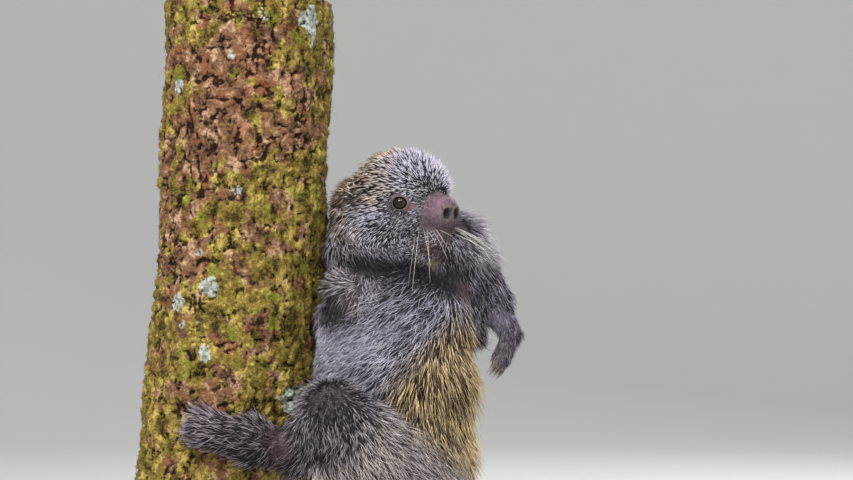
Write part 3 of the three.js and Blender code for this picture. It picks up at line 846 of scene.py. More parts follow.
def make_mesh(name: str, vertices: Array, faces: Array | list[Array]) -> bpy.types.Object:
    """A smooth piece from arrays.

    Args:
        name: the piece's name.
        vertices: one row a vertex, in millimetres.
        faces: one row a face, or a list of such arrays, one for each count of corners.

    Returns:
        The new object, at the origin.
    """
    groups = faces if isinstance(faces, list) else [faces]
    mesh = bpy.data.meshes.new(name)
    mesh.vertices.add(len(vertices))
    mesh.vertices.foreach_set("co", (vertices * MM).astype(np.float32).ravel())
    loops = np.concatenate([g.ravel() for g in groups]).astype(np.int32)
    sides = np.concatenate([np.full(len(g), g.shape[1]) for g in groups])
    starts = np.concatenate([[0], np.cumsum(sides)[:-1]]).astype(np.int32)
    mesh.loops.add(len(loops))
    mesh.loops.foreach_set("vertex_index", loops)
    mesh.polygons.add(len(sides))
    mesh.polygons.foreach_set("loop_start", starts)
    mesh.polygons.foreach_set("use_smooth", np.ones(len(sides), bool))
    mesh.update(calc_edges=True)
    mesh.validate()
    thing = bpy.data.objects.new(name, mesh)
    bpy.context.scene.collection.objects.link(thing)
    return thing


def paint(thing: bpy.types.Object, name: str, values: Array) -> None:
    """Writes a number or a colour for each vertex, for the materials to read."""
    colour = values.ndim == 2
    kind = "FLOAT_COLOR" if colour else "FLOAT"
    layer = thing.data.attributes.new(name, kind, "POINT")
    if colour:
        values = np.concatenate([values, np.ones((len(values), 1))], axis=1)
    layer.data.foreach_set("color" if colour else "value", values.astype(np.float32).ravel())


def register(thing: bpy.types.Object, finish: Material,
             nodes: Sequence[str] = ()) -> None:
    """Fixes a piece to the object and gives it its finish.

    Args:
        thing: the piece.
        finish: its material.
        nodes: the CAD nodes that it stands for.
    """
    thing.data.materials.clear()
    thing.data.materials.append(finish)
    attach(thing, "root")
    if nodes:
        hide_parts(*nodes)
    log.info("%s: %d vertices, %d faces", thing.name, len(thing.data.vertices), len(thing.data.polygons))


# Shader maths
class Socket:
    """An output socket that takes part in Python's arithmetic, also as the second of two numbers."""

    def __init__(self, shader: "Shader", link: bpy.types.NodeSocket) -> None:
        """Args:
            shader: the material that it belongs to.
            link: Blender's own socket.
        """
        self.shader, self.link = shader, link

    def maths(self, operation: str, first: object, second: object = 0.0) -> "Socket":
        """One Math node."""
        return self.shader.node("ShaderNodeMath", {"operation": operation}, {0: first, 1: second})

    def __add__(self, other: object) -> "Socket":
        """self + other."""
        return self.maths("ADD", self, other)

    def __sub__(self, other: object) -> "Socket":
        """self - other."""
        return self.maths("SUBTRACT", self, other)

    def __rsub__(self, other: object) -> "Socket":
        """other - self."""
        return self.maths("SUBTRACT", other, self)

    def __mul__(self, other: object) -> "Socket":
        """self * other."""
        return self.maths("MULTIPLY", self, other)

    __radd__, __rmul__ = __add__, __mul__

    def step(self, low: float, high: float) -> "Socket":
        """A smooth step from 0 at low to 1 at high."""
        inputs = {"Value": self, "From Min": low, "From Max": high}
        return self.shader.node("ShaderNodeMapRange", {"interpolation_type": "SMOOTHSTEP"}, inputs)


class Shader:
    """A material under construction."""

    def __init__(self, name: str) -> None:
        """Args:
            name: the material's name.
        """
        self.material = bpy.data.materials.new(name)
        self.material.use_nodes = True
        self.tree = self.material.node_tree
        self.tree.nodes.clear()

    def node(self, kind: str, settings: dict | None = None, inputs: dict | None = None,
             output: int | str = 0) -> Socket:
        """Adds a node.

        Args:
            kind: Blender's name of its type.
            settings: properties, set first; stops are a ramp's places and colours.
            inputs: values or links by a socket's name or number.
            output: the socket to go on from.

        Returns:
            That output.
        """
        made = self.tree.nodes.new(kind)
        for key, value in (settings or {}).items():
            if key == "stops":
                while len(made.color_ramp.elements) < len(value):
                    made.color_ramp.elements.new(1.0)
                for element, (place, colour) in zip(made.color_ramp.elements, value):
                    element.position = place
                    element.color = (*colour, 1.0)
            else:
                setattr(made, key, value)
        for key, value in (inputs or {}).items():
            if isinstance(value, Socket):
                self.tree.links.new(value.link, made.inputs[key])
            elif isinstance(value, tuple) and len(value) == 3 and made.inputs[key].type == "RGBA":
                made.inputs[key].default_value = (*value, 1.0)
            else:
                made.inputs[key].default_value = value
        return Socket(self, made.outputs[output])

    def place(self) -> Socket:
        """The place on the surface, in metres in the shared frame."""
        return self.node("ShaderNodeTexCoord", output="Object")

    def stretched(self, scale: Triple) -> Socket:
        """The place on the surface, scaled along each axis."""
        return self.node("ShaderNodeVectorMath", {"operation": "MULTIPLY"}, {0: self.place(), 1: scale})

    def value(self, name: str) -> Socket:
        """A number painted on the vertices."""
        return self.node("ShaderNodeAttribute", {"attribute_name": name}, output="Fac")

    def colour(self, name: str) -> Socket:
        """A colour painted on the vertices."""
        return self.node("ShaderNodeAttribute", {"attribute_name": name}, output="Color")

    def noise(self, scale: float, detail: float = 3.0, where: Socket | None = None) -> Socket:
        """Noise from 0 to 1, with its scale in lumps a metre."""
        inputs = {"Scale": scale, "Detail": detail, "Vector": where or self.place()}
        return self.node("ShaderNodeTexNoise", {}, inputs)

    def cells(self, scale: float, feature: str = "F1", where: Socket | None = None) -> Socket:
        """Distance in a pattern of cells."""
        inputs = {"Scale": scale, "Vector": where or self.place()}
        return self.node("ShaderNodeTexVoronoi", {"feature": feature}, inputs)

    def mix(self, share: object, first: object, second: object, how: str = "MIX") -> Socket:
        """Two colours mixed."""
        settings = {"data_type": "RGBA", "blend_type": how}
        return self.node("ShaderNodeMix", settings, {0: share, 6: first, 7: second}, 2)

    def bump(self, height: Socket, depth: float, strength: float = 1.0) -> Socket:
        """A surface's normals from a height between 0 and 1, with its depth in metres."""
        inputs = {"Height": height, "Distance": depth, "Strength": strength}
        return self.node("ShaderNodeBump", {}, inputs)

    def finish(self, inputs: dict) -> Material:
        """Ends the material with a surface of these inputs."""
        surface = self.node("ShaderNodeBsdfPrincipled", {}, inputs)
        output = self.tree.nodes.new("ShaderNodeOutputMaterial")
        self.tree.links.new(surface.link, output.inputs["Surface"])
        return self.material


# Finishes
@dataclass(frozen=True)
class FleshFinish:
    """Skin, dark under the coat and bare on nose, lids, lips, soles and tail."""

    pores: float = 900.0
    folds: float = 260.0

    def material(self) -> Material:
        """Builds the material."""
        shader = Shader("porcupine_skin")
        bare = shader.value("bare")
        mottled = shader.noise(150.0, 4.0).step(0.3, 0.7)
        darker = shader.mix(1.0, shader.colour("flesh"), (0.62, 0.55, 0.58), "MULTIPLY")
        colour = shader.mix(mottled, darker, shader.colour("flesh"))
        specks = shader.cells(self.pores).step(0.1, 0.6)
        colour = shader.mix(specks * 0.35, colour, shader.mix(0.5, colour, (0.5, 0.42, 0.44)))
        height = specks * 0.5 + shader.noise(self.folds, 5.0)
        normal = shader.bump(height, 0.0007, 0.7)
        roughness = 0.75 - bare * 0.22
        return shader.finish({"Base Color": colour, "Roughness": roughness, "Normal": normal,
                              "Specular IOR Level": 0.4})


@dataclass(frozen=True)
class CoatFinish:
    """Quills, hair or leaves, from the colour of their root to that of their tip."""

    name: str
    sharpness: float
    roughness: float = 0.5

    def material(self) -> Material:
        """Builds the material."""
        shader = Shader(self.name)
        along = shader.value("along")
        band = shader.value("band")
        share = ((along - band) * self.sharpness + 0.5).step(0.0, 1.0)
        colour = shader.mix(share, shader.colour("root_colour"), shader.colour("tip_colour"))
        streak = shader.noise(420.0, 2.0).step(0.25, 0.75)
        shaded = shader.mix(1.0, colour, (0.74, 0.71, 0.74), "MULTIPLY")
        colour = shader.mix(streak, shaded, colour)
        return shader.finish({"Base Color": colour, "Roughness": self.roughness,
                              "Specular IOR Level": 0.35})


@dataclass(frozen=True)
class EyeFinish:
    """A wet dark eye with a brown iris round a wide pupil."""

    def material(self) -> Material:
        """Builds the material."""
        shader = Shader("porcupine_eye")
        turn = shader.value("from_gaze")
        rays = shader.noise(1400.0, 4.0)
        iris = shader.mix(rays, srgb(22, 15, 12), srgb(58, 38, 28))
        pupil = turn.step(0.4, 0.46)
        colour = shader.mix(pupil, srgb(6, 5, 6), iris)
        rim = turn.step(0.62, 0.8)
        colour = shader.mix(rim, colour, srgb(14, 9, 9))
        return shader.finish({"Base Color": colour, "Roughness": 0.3, "Coat Weight": 0.55,
                              "Coat Roughness": 0.03, "Specular IOR Level": 0.1})


@dataclass(frozen=True)
class ClawFinish:
    """Horn, dark at the root and paler at the point."""

    def material(self) -> Material:
        """Builds the material."""
        shader = Shader("porcupine_claw")
        along = shader.value("along")
        grain = shader.noise(900.0, 3.0)
        colour = shader.mix(along.step(0.1, 0.9), srgb(92, 78, 84), srgb(190, 178, 178))
        colour = shader.mix(grain * 0.5, colour, srgb(70, 60, 64))
        normal = shader.bump(grain, 0.0002, 0.5)
        return shader.finish({"Base Color": colour, "Roughness": 0.38, "Normal": normal,
                              "Coat Weight": 0.3})


@dataclass(frozen=True)
class WhiskerFinish:
    """Long stiff white hairs."""

    def material(self) -> Material:
        """Builds the material."""
        shader = Shader("porcupine_whisker")
        along = shader.value("along")
        colour = shader.mix(along.step(0.0, 0.3), srgb(150, 140, 140), srgb(226, 220, 214))
        return shader.finish({"Base Color": colour, "Roughness": 0.35})


@dataclass(frozen=True)
class BarkFinish:
    """Flaking red-brown bark with moss, and grey-green lichen, with painted shade in its low places."""

    def material(self) -> Material:
        """Builds the material."""
        shader = Shader("trunk_bark")
        moss, lichen, relief, tone = (shader.value(n) for n in ("moss", "lichen", "relief", "tone"))
        fine = shader.noise(520.0, 5.0)
        grain = shader.noise(300.0, 3.0)
        crumbs, flecks = fine - 0.5, grain - 0.5
        tone = tone * 0.7 + crumbs * 0.8 + flecks * 1.1 + 0.1
        dark = shader.mix(tone.step(0.05, 0.45), srgb(58, 38, 27), srgb(122, 88, 62))
        bark = shader.mix(tone.step(0.45, 0.9), dark, srgb(192, 158, 126))
        bark = shader.mix(shader.noise(75.0, 3.0).step(0.5, 0.66) * 0.5, bark, srgb(146, 84, 54))
        olive = shader.mix(tone.step(0.1, 0.45), srgb(64, 52, 18), srgb(128, 108, 48))
        green = shader.mix(tone.step(0.45, 0.9), olive, srgb(190, 168, 88))
        lime = shader.noise(62.0, 4.0).step(0.56, 0.68)
        green = shader.mix(lime * 0.6, green, srgb(118, 132, 34))
        scurf = shader.mix(grain.step(0.3, 0.7), srgb(120, 124, 112), srgb(196, 204, 196))
        colour = shader.mix((moss + crumbs * 0.9 + flecks * 0.8).step(0.35, 0.6), bark, green)
        crust = (lichen + crumbs * 0.9 + flecks * 0.9).step(0.4, 0.75)
        colour = shader.mix(crust, colour, scurf)
        # Painted shade: the bark turns near-black in its low places, in the gaps between flakes and where
        # it is pressed in under the animal.
        painted_gap_shade = shader.mix(1.0, colour, (0.10, 0.07, 0.055), "MULTIPLY")
        out_of_gap_shade = relief + crumbs * 0.5 + flecks * 0.9
        colour = shader.mix(out_of_gap_shade.step(0.12, 0.5), painted_gap_shade, colour)
        height = fine * 0.7 + shader.cells(420.0, "SMOOTH_F1") * 0.4
        normal = shader.bump(height + grain * 0.8, 0.0026, 1.0)
        return shader.finish({"Base Color": colour, "Roughness": 0.93, "Normal": normal,
                              "Specular IOR Level": 0.2})


@dataclass(frozen=True)
class SawnFinish:
    """The cut end of the trunk, with its year rings."""

    def material(self) -> Material:
        """Builds the material."""
        shader = Shader("trunk_sawn_wood")
        rings = shader.value("rings")
        wobble = shader.noise(35.0, 3.0)
        wave = shader.node("ShaderNodeMath", {"operation": "SINE"}, {0: rings * 150.0 + wobble * 9.0})
        grain = shader.noise(700.0, 4.0)
        colour = shader.mix(wave * 0.5 + 0.5, srgb(176, 138, 92), srgb(206, 172, 124))
        colour = shader.mix(grain * 0.4, colour, srgb(120, 86, 54))
        colour = shader.mix(rings.step(0.9, 0.97), colour, srgb(74, 50, 36))
        normal = shader.bump(grain + wave * 0.2, 0.0006, 0.6)
        return shader.finish({"Base Color": colour, "Roughness": 0.8, "Normal": normal})


@dataclass(frozen=True)
class StandWoodFinish:
    """Black-stained wood under satin lacquer."""

    def material(self) -> Material:
        """Builds the material."""
        shader = Shader("stand_wood")
        long = shader.stretched((4.0, 60.0, 60.0))
        grain = shader.noise(6.0, 6.0, long)
        pores = shader.noise(30.0, 4.0, long).step(0.5, 0.8)
        colour = shader.mix(grain.step(0.3, 0.7), srgb(30, 26, 23), srgb(58, 49, 42))
        normal = shader.bump(pores + grain * 0.3, 0.0003, 0.35)
        return shader.finish({"Base Color": colour, "Roughness": 0.3 + pores * 0.2, "Normal": normal,
                              "Coat Weight": 0.25, "Coat Roughness": 0.25})


@dataclass(frozen=True)
class SteelFinish:
    """Satin steel rod, turned in a lathe."""

    def material(self) -> Material:
        """Builds the material."""
        shader = Shader("stand_steel")
        lines = shader.noise(8.0, 3.0, shader.stretched((1.0, 1.0, 400.0)))
        colour = shader.mix(lines, srgb(126, 127, 130), srgb(176, 176, 178))
        normal = shader.bump(lines, 0.00008, 0.4)
        return shader.finish({"Base Color": colour, "Metallic": 1.0, "Roughness": 0.26 + lines * 0.16,
                              "Normal": normal})


@dataclass(frozen=True)
class FloorFinish:
    """A plain pale studio floor."""

    def material(self) -> Material:
        """Builds the material."""
        shader = Shader("studio_floor")
        return shader.finish({"Base Color": srgb(208, 207, 203), "Roughness": 0.9,
                              "Specular IOR Level": 0.1})


# Markings, painted shade and painted highlights, the same for skin and coat
@dataclass(frozen=True)
class Spot:
    """A tinted patch round the place that one pixel of the photograph shows, with its radius in mm: a
    marking, a painted shadow or a painted highlight.
    """

    across: float
    down: float
    radius: float
    tint: tuple[int, int, int]
    strength: float


MARKS_SHADES_AND_HIGHLIGHTS = (
    Spot(338, 203, 17, (172, 138, 104), 0.75),
    Spot(461, 288, 10, (150, 118, 120), 0.7),
    # Darker where the far arm's top meets the chest.
    Spot(478, 286, 13, (40, 34, 40), 0.55),
    # Painted highlight on the far forearm.
    Spot(498, 317, 13, (176, 166, 190), 0.55),
    # Painted shadow in the far armpit.
    Spot(489, 333, 9, (34, 28, 32), 0.7),
    Spot(434, 262, 5, (196, 180, 130), 0.6),
    Spot(285, 443, 15, (176, 142, 158), 0.6),
    Spot(351, 300, 7, (116, 82, 72), 0.5),
    # Painted shadow under the near forearm.
    Spot(338, 311, 17, (12, 10, 12), 0.97),
    Spot(328, 309, 14, (12, 10, 12), 0.97),
    # Painted rim light along the belly's left edge.
    Spot(317, 347, 17, (180, 178, 210), 0.75),
    Spot(308, 373, 17, (180, 178, 210), 0.75),
    Spot(453, 213, 15, (60, 43, 37), 0.85),
    # Darker throat under the cheek: painted shade, over the far arm's darker fur.
    Spot(449, 262, 16, (54, 48, 58), 0.6),
    # Painted shade on the lower right of the nose bulb.
    Spot(449, 230, 10, (66, 48, 52), 0.65),
    Spot(426, 222, 7, (74, 56, 66), 0.4),
    # Painted shade under the cheek.
    Spot(452, 274, 12, (44, 38, 44), 0.6),
    Spot(430, 247, 9, (108, 80, 82), 0.8),
    Spot(328, 403, 16, (52, 46, 54), 0.45),
    Spot(398, 322, 22, (58, 52, 60), 0.3),
)
# Pixels along the neck's crease under the cheek, where shade is painted into skin and coat.
CREASE_SHADE_PIXELS = ((324, 256), (350, 258), (380, 262), (408, 265), (432, 272), (450, 283))


@dataclass
class MarkingsAndPaintedLight:
    """Where each colour and kind of coat is found on the animal, and where shade and highlights are painted
    on it.
    """

    flesh: Flesh
    spot_core: float = 0.45
    # How the painted shade along the neck's crease fades out, its colour and its greatest share.
    crease_core: float = 3.6
    crease_edge: float = 11.7
    crease_tint: Colour = srgb(26, 23, 27)
    crease_most: float = 0.95
    twists: tuple[Triple, ...] = ((62, 315, 392), (30, 392, 420))

    def __post_init__(self) -> None:
        """Finds the spine that back and flank are told apart by, and the places of the spots."""
        body = self.flesh.anatomy
        self.spine = np.array([body.rump, body.hips, body.middle, body.chest])
        self.tail = body.tail_path
        self.spots = [VIEW.meets(spot.across, spot.down, self.flesh.distance) for spot in MARKS_SHADES_AND_HIGHLIGHTS]
        crease = [VIEW.meets(*pixel, self.flesh.distance) for pixel in CREASE_SHADE_PIXELS]
        self.crease = [Bone(a, b, 0, 0) for a, b in zip(crease, crease[1:])]

    def off_back(self, points: Array) -> Array:
        """Degrees round the body from the middle of the back, from -180 to 180.

        The chest is twisted to the viewer. Each twist has its degrees and the heights where it starts
        and ends.

        Args:
            points: places on the body.

        Returns:
            One angle for each place.
        """
        z = points[:, 2]
        share = np.clip((z - self.spine[0, 2]) / (self.spine[-1, 2] - self.spine[0, 2]), 0, 1) * 3
        centre = [np.interp(share, range(4), self.spine[:, axis]) for axis in range(2)]
        facing = sum(degrees * smooth(z, low, high) for degrees, low, high in self.twists)
        turn = np.degrees(np.arctan2(points[:, 1] - centre[1], points[:, 0] - centre[0])) - facing
        return (turn + 180) % 360 - 180

    def near(self, points: Array, place: Array, full: float, none: float) -> Array:
        """1 within one distance of a place, falling to 0 at another."""
        return 1 - smooth(norm(points - place), full, none)

    def nose(self, points: Array) -> Array:
        """The bare bulb of the nose."""
        ahead, _, above = HEAD.local(points).T
        bulb = smooth(ahead - 0.2 * above, 49.5, 55.0) * smooth(above, -23.0, -17.0)
        return bulb * self.near(points, HEAD.at(56, 0, -8), 26, 30)

    def lips(self, points: Array) -> Array:
        """The thinly haired lips under the nose."""
        ahead, left, above = HEAD.local(points).T
        middle = 1 - smooth(np.abs(left), 5.5, 9.0)
        near = self.near(points, HEAD.at(52, 0, -26), 18, 22)
        return smooth(ahead, 47, 52) * smooth(-above, 17, 22) * middle * near

    def bare(self, points: Array) -> Array:
        """How bare the skin is.

        Args:
            points: places on the skin.

        Returns:
            A number from 0 to 1 for each.
        """
        shares = [self.nose(points), 0.6 * self.lips(points)]
        for side in SIDES:
            offset = points - EYE.centre(side)
            over = 1.2 * smooth(offset @ UP, 1.5, 5.0)
            shares.append(1 - smooth(norm(offset) - over, 7.0, 7.8))
            shares.append(1 - smooth(EYE.corner(side).distance(points), -0.2, 1.2))
        shares += [0.9 * self.near(points, cup.centre, 5.0, 7.5) for cup in self.flesh.cups]
        shares += [self.near(points, digit.form.end, 4.5, 6.5) for digit in self.flesh.anatomy.digits]
        beside = np.min(norm(points[:, None] - self.tail[None, 4:]), axis=1)
        shares.append(smooth(self.tail_share(points), 0.66, 0.74) * (beside < 18))
        return np.clip(np.max(shares, axis=0), 0, 1)

    def tail_share(self, points: Array) -> Array:
        """How far along the tail each point lies, from 0 to 1."""
        best, share = np.full(len(points), np.inf), np.zeros(len(points))
        for i, (start, end) in enumerate(zip(self.tail, self.tail[1:])):
            bone = Bone(start, end, 0, 0)
            away = bone.distance(points)
            share = np.where(away < best, (i + bone.share(points)) / (len(self.tail) - 1), share)
            best = np.minimum(away, best)
        return share

    def tinted(self, points: Array, colour: Array, strength: float = 1.0) -> Array:
        """Colours with the spots laid over them, some of which are painted shadows and painted highlights,
        and with painted shade along the neck's crease.
        """
        for spot, place in zip(MARKS_SHADES_AND_HIGHLIGHTS, self.spots):
            share = self.near(points, place, spot.radius * self.spot_core, spot.radius)
            colour = blend_in(colour, srgb(*spot.tint), share * spot.strength * strength)
        # Painted shade along the neck's crease under the cheek.
        away = np.min([bone.distance(points) for bone in self.crease], axis=0)
        share = 1 - smooth(away, self.crease_core, self.crease_edge)
        return blend_in(colour, self.crease_tint, share * min(self.crease_most, 1.1 * strength))

    def flesh_colour(self, points: Array) -> Array:
        """The skin's colour, with painted shade and painted highlights laid in.

        Args:
            points: places on the skin.

        Returns:
            A linear colour for each.
        """
        colour = self.tinted(points, np.tile(srgb(46, 40, 44), (len(points), 1)), 0.6)
        face = self.near(points, HEAD.at(40, 0, -8), 58, 60)
        bare, nose, lips = self.bare(points), self.nose(points), self.lips(points)
        ahead, left, above = HEAD.local(points).T
        tints = [((112, 94, 94), bare * (1 - face)), ((66, 56, 66), bare * face)]
        # Painted light: the nose bulb is lighter towards its top and left.
        lit = smooth(above - 0.6 * left, -10, 8)
        tints += [((74, 54, 66), nose), ((124, 86, 104), nose * lit * 0.9)]
        tints += [((108, 80, 80), lips), ((58, 40, 38), lips * smooth(-above, 30, 34) * 0.5)]
        around = np.min([n.distance(points) for n in self.flesh.nostrils], axis=0)
        front = smooth(self.flesh.nose.local(points)[:, 0], 9.5, 12.0)
        tints += [((98, 72, 62), nose * np.maximum(1 - smooth(around, 1.5, 4.0), front) * 0.85)]
        # Painted shade: near-black inside the nostrils.
        tints += [((12, 8, 8), nose * (1 - smooth(around, 0.4, 1.4)))]
        for side in SIDES:
            centre = EYE.centre(side)
            offset = norm(points - centre)
            over = smooth((points - centre) @ UP, 1.0, 5.0)
            near = face * (1 - smooth(offset, 8.0, 11.0))
            corner = 1 - smooth(EYE.corner(side).distance(points), -0.8, 1.4)
            tints += [((38, 33, 42), near * 0.9), ((112, 88, 106), near * over * 0.7)]
            tints += [((112, 82, 86), face * corner)]
            tints += [((20, 15, 18), face * (1 - smooth(offset, 6.9, 7.7)))]
        for tint, share in tints:
            colour = blend_in(colour, srgb(*tint), np.clip(share, 0, 1))
        return colour


# The skin
@dataclass
class Skin:
    """The one skin that stands for all the flesh."""

    flesh: Flesh
    marks: MarkingsAndPaintedLight

    def build(self) -> None:
        """Makes the mesh and paints it."""
        vertices, faces = Lattice(self.flesh).surface()
        self.corners = vertices[faces]
        self.centres = self.corners.mean(axis=1)
        across = np.cross(self.corners[:, 2] - self.corners[:, 0], self.corners[:, 3] - self.corners[:, 1])
        self.area = norm(across) / 2
        thing = make_mesh("porcupine_skin", vertices, faces)
        paint(thing, "bare", self.marks.bare(vertices))
        paint(thing, "flesh", self.marks.flesh_colour(vertices))
        flesh_nodes = [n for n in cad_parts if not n.startswith(("stand", "perch", "eye"))]
        register(thing, FleshFinish().material(), flesh_nodes)

    def scatter(self, crowd: Array, draw: np.random.Generator) -> Array:
        """Random places on the skin.

        Args:
            crowd: how many there are on a square millimetre, for each face.
            draw: the random numbers.

        Returns:
            Points on the skin.
        """
        weight = self.area * crowd
        count = int(weight.sum())
        quad = self.corners[draw.choice(len(weight), size=count, p=weight / weight.sum())]
        s, t = draw.random((2, count, 1))
        return lerp(lerp(quad[:, 0], quad[:, 1], s), lerp(quad[:, 3], quad[:, 2], s), t)


# The coat
@dataclass
class Strands:
    """Many tapering strands, with one row of each array a strand."""

    root: Array
    out: Array
    lie: Array
    length: Array
    width: Array
    lift: Array
    droop: Array
    curl: Array
    root_colour: Array
    tip_colour: Array
    band: Array
    pull: Array | float = 0.0
    segments: int = 2
    sink: float = 0.5
    waist: float = 0.75
    flat: float = 0.7

    def centre(self, share: float) -> Array:
        """Places on the strands' middle lines.

        Args:
            share: how far along, from 0 at the root to 1 at the tip.

        Returns:
            One place for each strand.
        """
        angle = np.radians(self.lift)[:, None]
        start = self.lie * np.cos(angle) + self.out * np.sin(angle)
        side = np.cross(self.lie, self.out)
        length = self.length[:, None]
        bend = side * self.curl[:, None] - self.out * self.droop[:, None]
        place = self.root - self.out * self.sink + start * length * share + bend * length * share * share
        return place + self.pull * share**1.5

    def piece(self, name: str) -> bpy.types.Object:
        """Makes the mesh of all strands, three-sided and pointed.

        Args:
            name: the piece's name.

        Returns:
            The new object, painted for its finish.
        """
        count, rings, sides = len(self.root), self.segments, 3
        across = unit(np.cross(self.lie, self.out))
        vertices, along, beside = [], [], []
        for ring in range(rings):
            share = ring / rings
            heading = unit(self.centre(share + 0.02) - self.centre(share - 0.02))
            over = unit(np.cross(across, heading))
            girth = lerp(self.waist, 1.0, min(1.0, share * 2)) * (1 - 0.35 * max(0.0, share * 2 - 1))
            for side in range(sides):
                turn = 2 * math.pi * side / sides + math.pi / 2
                offset = across * math.cos(turn) + over * math.sin(turn) * self.flat
                vertices.append(self.centre(share) + offset * self.width[:, None] / 2 * girth)
                along.append(share)
                beside.append(side / 2)
        vertices.append(self.centre(1.0))
        along.append(1.0)
        beside.append(0.5)
        self.per = len(vertices)
        base = np.arange(count)[:, None] * self.per
        sleeve, tip = bands(rings, sides), fan((rings - 1) * sides, sides, self.per - 1)
        groups = [np.concatenate([base + face for face in some]) for some in (sleeve, tip) if len(some)]
        thing = make_mesh(name, np.stack(vertices, axis=1).reshape(-1, 3), groups)
        paint(thing, "along", np.tile(along, count))
        for kind in ("band", "root_colour", "tip_colour"):
            paint(thing, kind, np.repeat(getattr(self, kind), self.per, axis=0))
        self.spread = np.stack([np.tile(beside, count), np.tile(along, count)], axis=1) * BAKE_WIDTH
        return thing

    def lay_flat(self, thing: bpy.types.Object, spots: Array) -> None:
        """Writes the map that the finish is baked on.

        Args:
            thing: the mesh of all strands.
            spots: each strand's place on the map.
        """
        places = np.repeat(spots, self.per, axis=0) + self.spread
        layer = thing.data.uv_layers.new(name="OFBake")
        loops = np.empty(len(thing.data.loops), np.int32)
        thing.data.loops.foreach_get("vertex_index", loops)
        layer.uv.foreach_set("vector", places[loops].astype(np.float32).ravel())

    def part(self, rows: Array) -> "Strands":
        """Only some of the strands."""
        kept = {f.name: getattr(self, f.name) for f in fields(self)}
        return Strands(**{name: v[rows] if isinstance(v, np.ndarray) else v for name, v in kept.items()})


@dataclass(frozen=True)
class Growth:
    """How the strands of one zone look, in millimetres, degrees and screen colours."""

    crowd: float
    length: float
    width: float
    lift: float
    pale_share: float
    band: float
    root: tuple[int, int, int]
    dark: tuple[int, int, int]
    pale: tuple[int, int, int]

    def row(self) -> Array:
        """All its numbers in one row, with linear colours."""
        *sizes, root, dark, pale = astuple(self)
        return np.concatenate([sizes, srgb(*root), srgb(*dark), srgb(*pale)])


FUR = {
    "flank": Growth(0.62, 18, 0.37, 19, 0.52, 0.35, (36, 33, 41), (74, 70, 84), (242, 238, 254)),
    "neck": Growth(0.62, 19, 0.38, 23, 0.42, 0.45, (26, 23, 27), (60, 56, 64), (200, 194, 206)),
    "back": Growth(0.46, 23, 0.42, 22, 0.45, 0.4, (58, 46, 36), (122, 100, 78), (228, 206, 172)),
    "belly": Growth(0.75, 9.5, 0.36, 18, 0.55, 0.3, (128, 126, 142), (176, 174, 194), (244, 242, 254)),
    "arm": Growth(0.66, 11.5, 0.38, 20, 0.42, 0.42, (24, 21, 26), (46, 41, 50), (200, 194, 212)),
    "grip": Growth(0.55, 13, 0.42, 24, 0.5, 0.35, (46, 40, 44), (92, 82, 88), (216, 206, 208)),
    "hand": Growth(0.8, 5.5, 0.36, 13, 0.35, 0.4, (34, 30, 36), (66, 60, 70), (176, 168, 182)),
    "foot": Growth(0.5, 15, 0.48, 30, 0.4, 0.5, (26, 22, 26), (54, 46, 54), (190, 176, 186)),
    "thigh": Growth(0.56, 20, 0.42, 26, 0.58, 0.4, (66, 56, 58), (140, 124, 126), (250, 240, 232)),
    "knee": Growth(0.55, 12, 0.48, 50, 0.4, 0.5, (38, 33, 38), (78, 70, 78), (200, 192, 198)),
    "tail": Growth(0.34, 8, 0.44, 16, 0.3, 0.4, (34, 26, 22), (60, 46, 38), (150, 124, 92)),
    "head": Growth(0.75, 5.5, 0.32, 18, 0.2, 0.5, (22, 19, 23), (44, 40, 46), (150, 144, 152)),
    "throat": Growth(0.6, 13, 0.42, 24, 0.35, 0.45, (32, 29, 33), (76, 72, 80), (196, 190, 200)),
    "nape": Growth(0.6, 15, 0.4, 36, 0.6, 0.35, (96, 78, 62), (146, 122, 98), (232, 204, 168)),
    "shoulder": Growth(0.6, 17, 0.44, 40, 0.5, 0.4, (104, 98, 106), (176, 170, 178), (250, 246, 252)),
    "face": Growth(1.2, 3.2, 0.26, 20, 0.35, 0.4, (44, 40, 48), (76, 72, 84), (184, 180, 192)),
}
QUILLS = {
    "flank": Growth(0.0, 11, 0.6, 22, 0.6, 0.5, (30, 27, 31), (56, 52, 59), (208, 203, 213)),
    "back": Growth(0.19, 26, 0.74, 24, 0.74, 0.48, (40, 29, 22), (122, 90, 60), (252, 224, 166)),
    "thigh": Growth(0.02, 22, 0.75, 24, 0.8, 0.5, (40, 33, 34), (70, 60, 60), (230, 216, 196)),
    "tail": Growth(0.1, 15, 0.9, 22, 0.7, 0.5, (30, 22, 18), (48, 36, 28), (200, 172, 116)),
    "head": Growth(0.29, 11.5, 1.05, 24, 0.82, 0.48, (18, 15, 18), (34, 30, 35), (234, 221, 204)),
    "nape": Growth(0.16, 14, 0.95, 32, 0.75, 0.4, (60, 48, 38), (110, 88, 68), (234, 206, 168)),
    "cheek": Growth(0.72, 8.0, 0.66, 21, 0.74, 0.42, (22, 21, 30), (46, 45, 60), (218, 218, 240)),
    "throat": Growth(0.05, 9, 0.6, 21, 0.5, 0.5, (26, 24, 29), (52, 49, 57), (206, 200, 208)),
    "forehead": Growth(0.95, 9.5, 0.5, 48, 0.66, 0.48, (56, 52, 62), (112, 106, 120), (222, 216, 230)),
    "face": Growth(1.1, 4.4, 0.42, 24, 0.6, 0.42, (34, 31, 37), (66, 62, 73), (226, 222, 232)),
}
FUZZ = {
    "nose": Growth(2.2, 2.2, 0.26, 32, 0.4, 0.2, (78, 57, 68), (84, 62, 74), (186, 164, 180)),
    "lips": Growth(2.4, 3.0, 0.26, 26, 0.28, 0.3, (70, 54, 56), (92, 74, 78), (196, 182, 186)),
    "ear": Growth(0.6, 6, 0.3, 30, 0.5, 0.3, (90, 66, 48), (120, 92, 68), (206, 178, 142)),
}


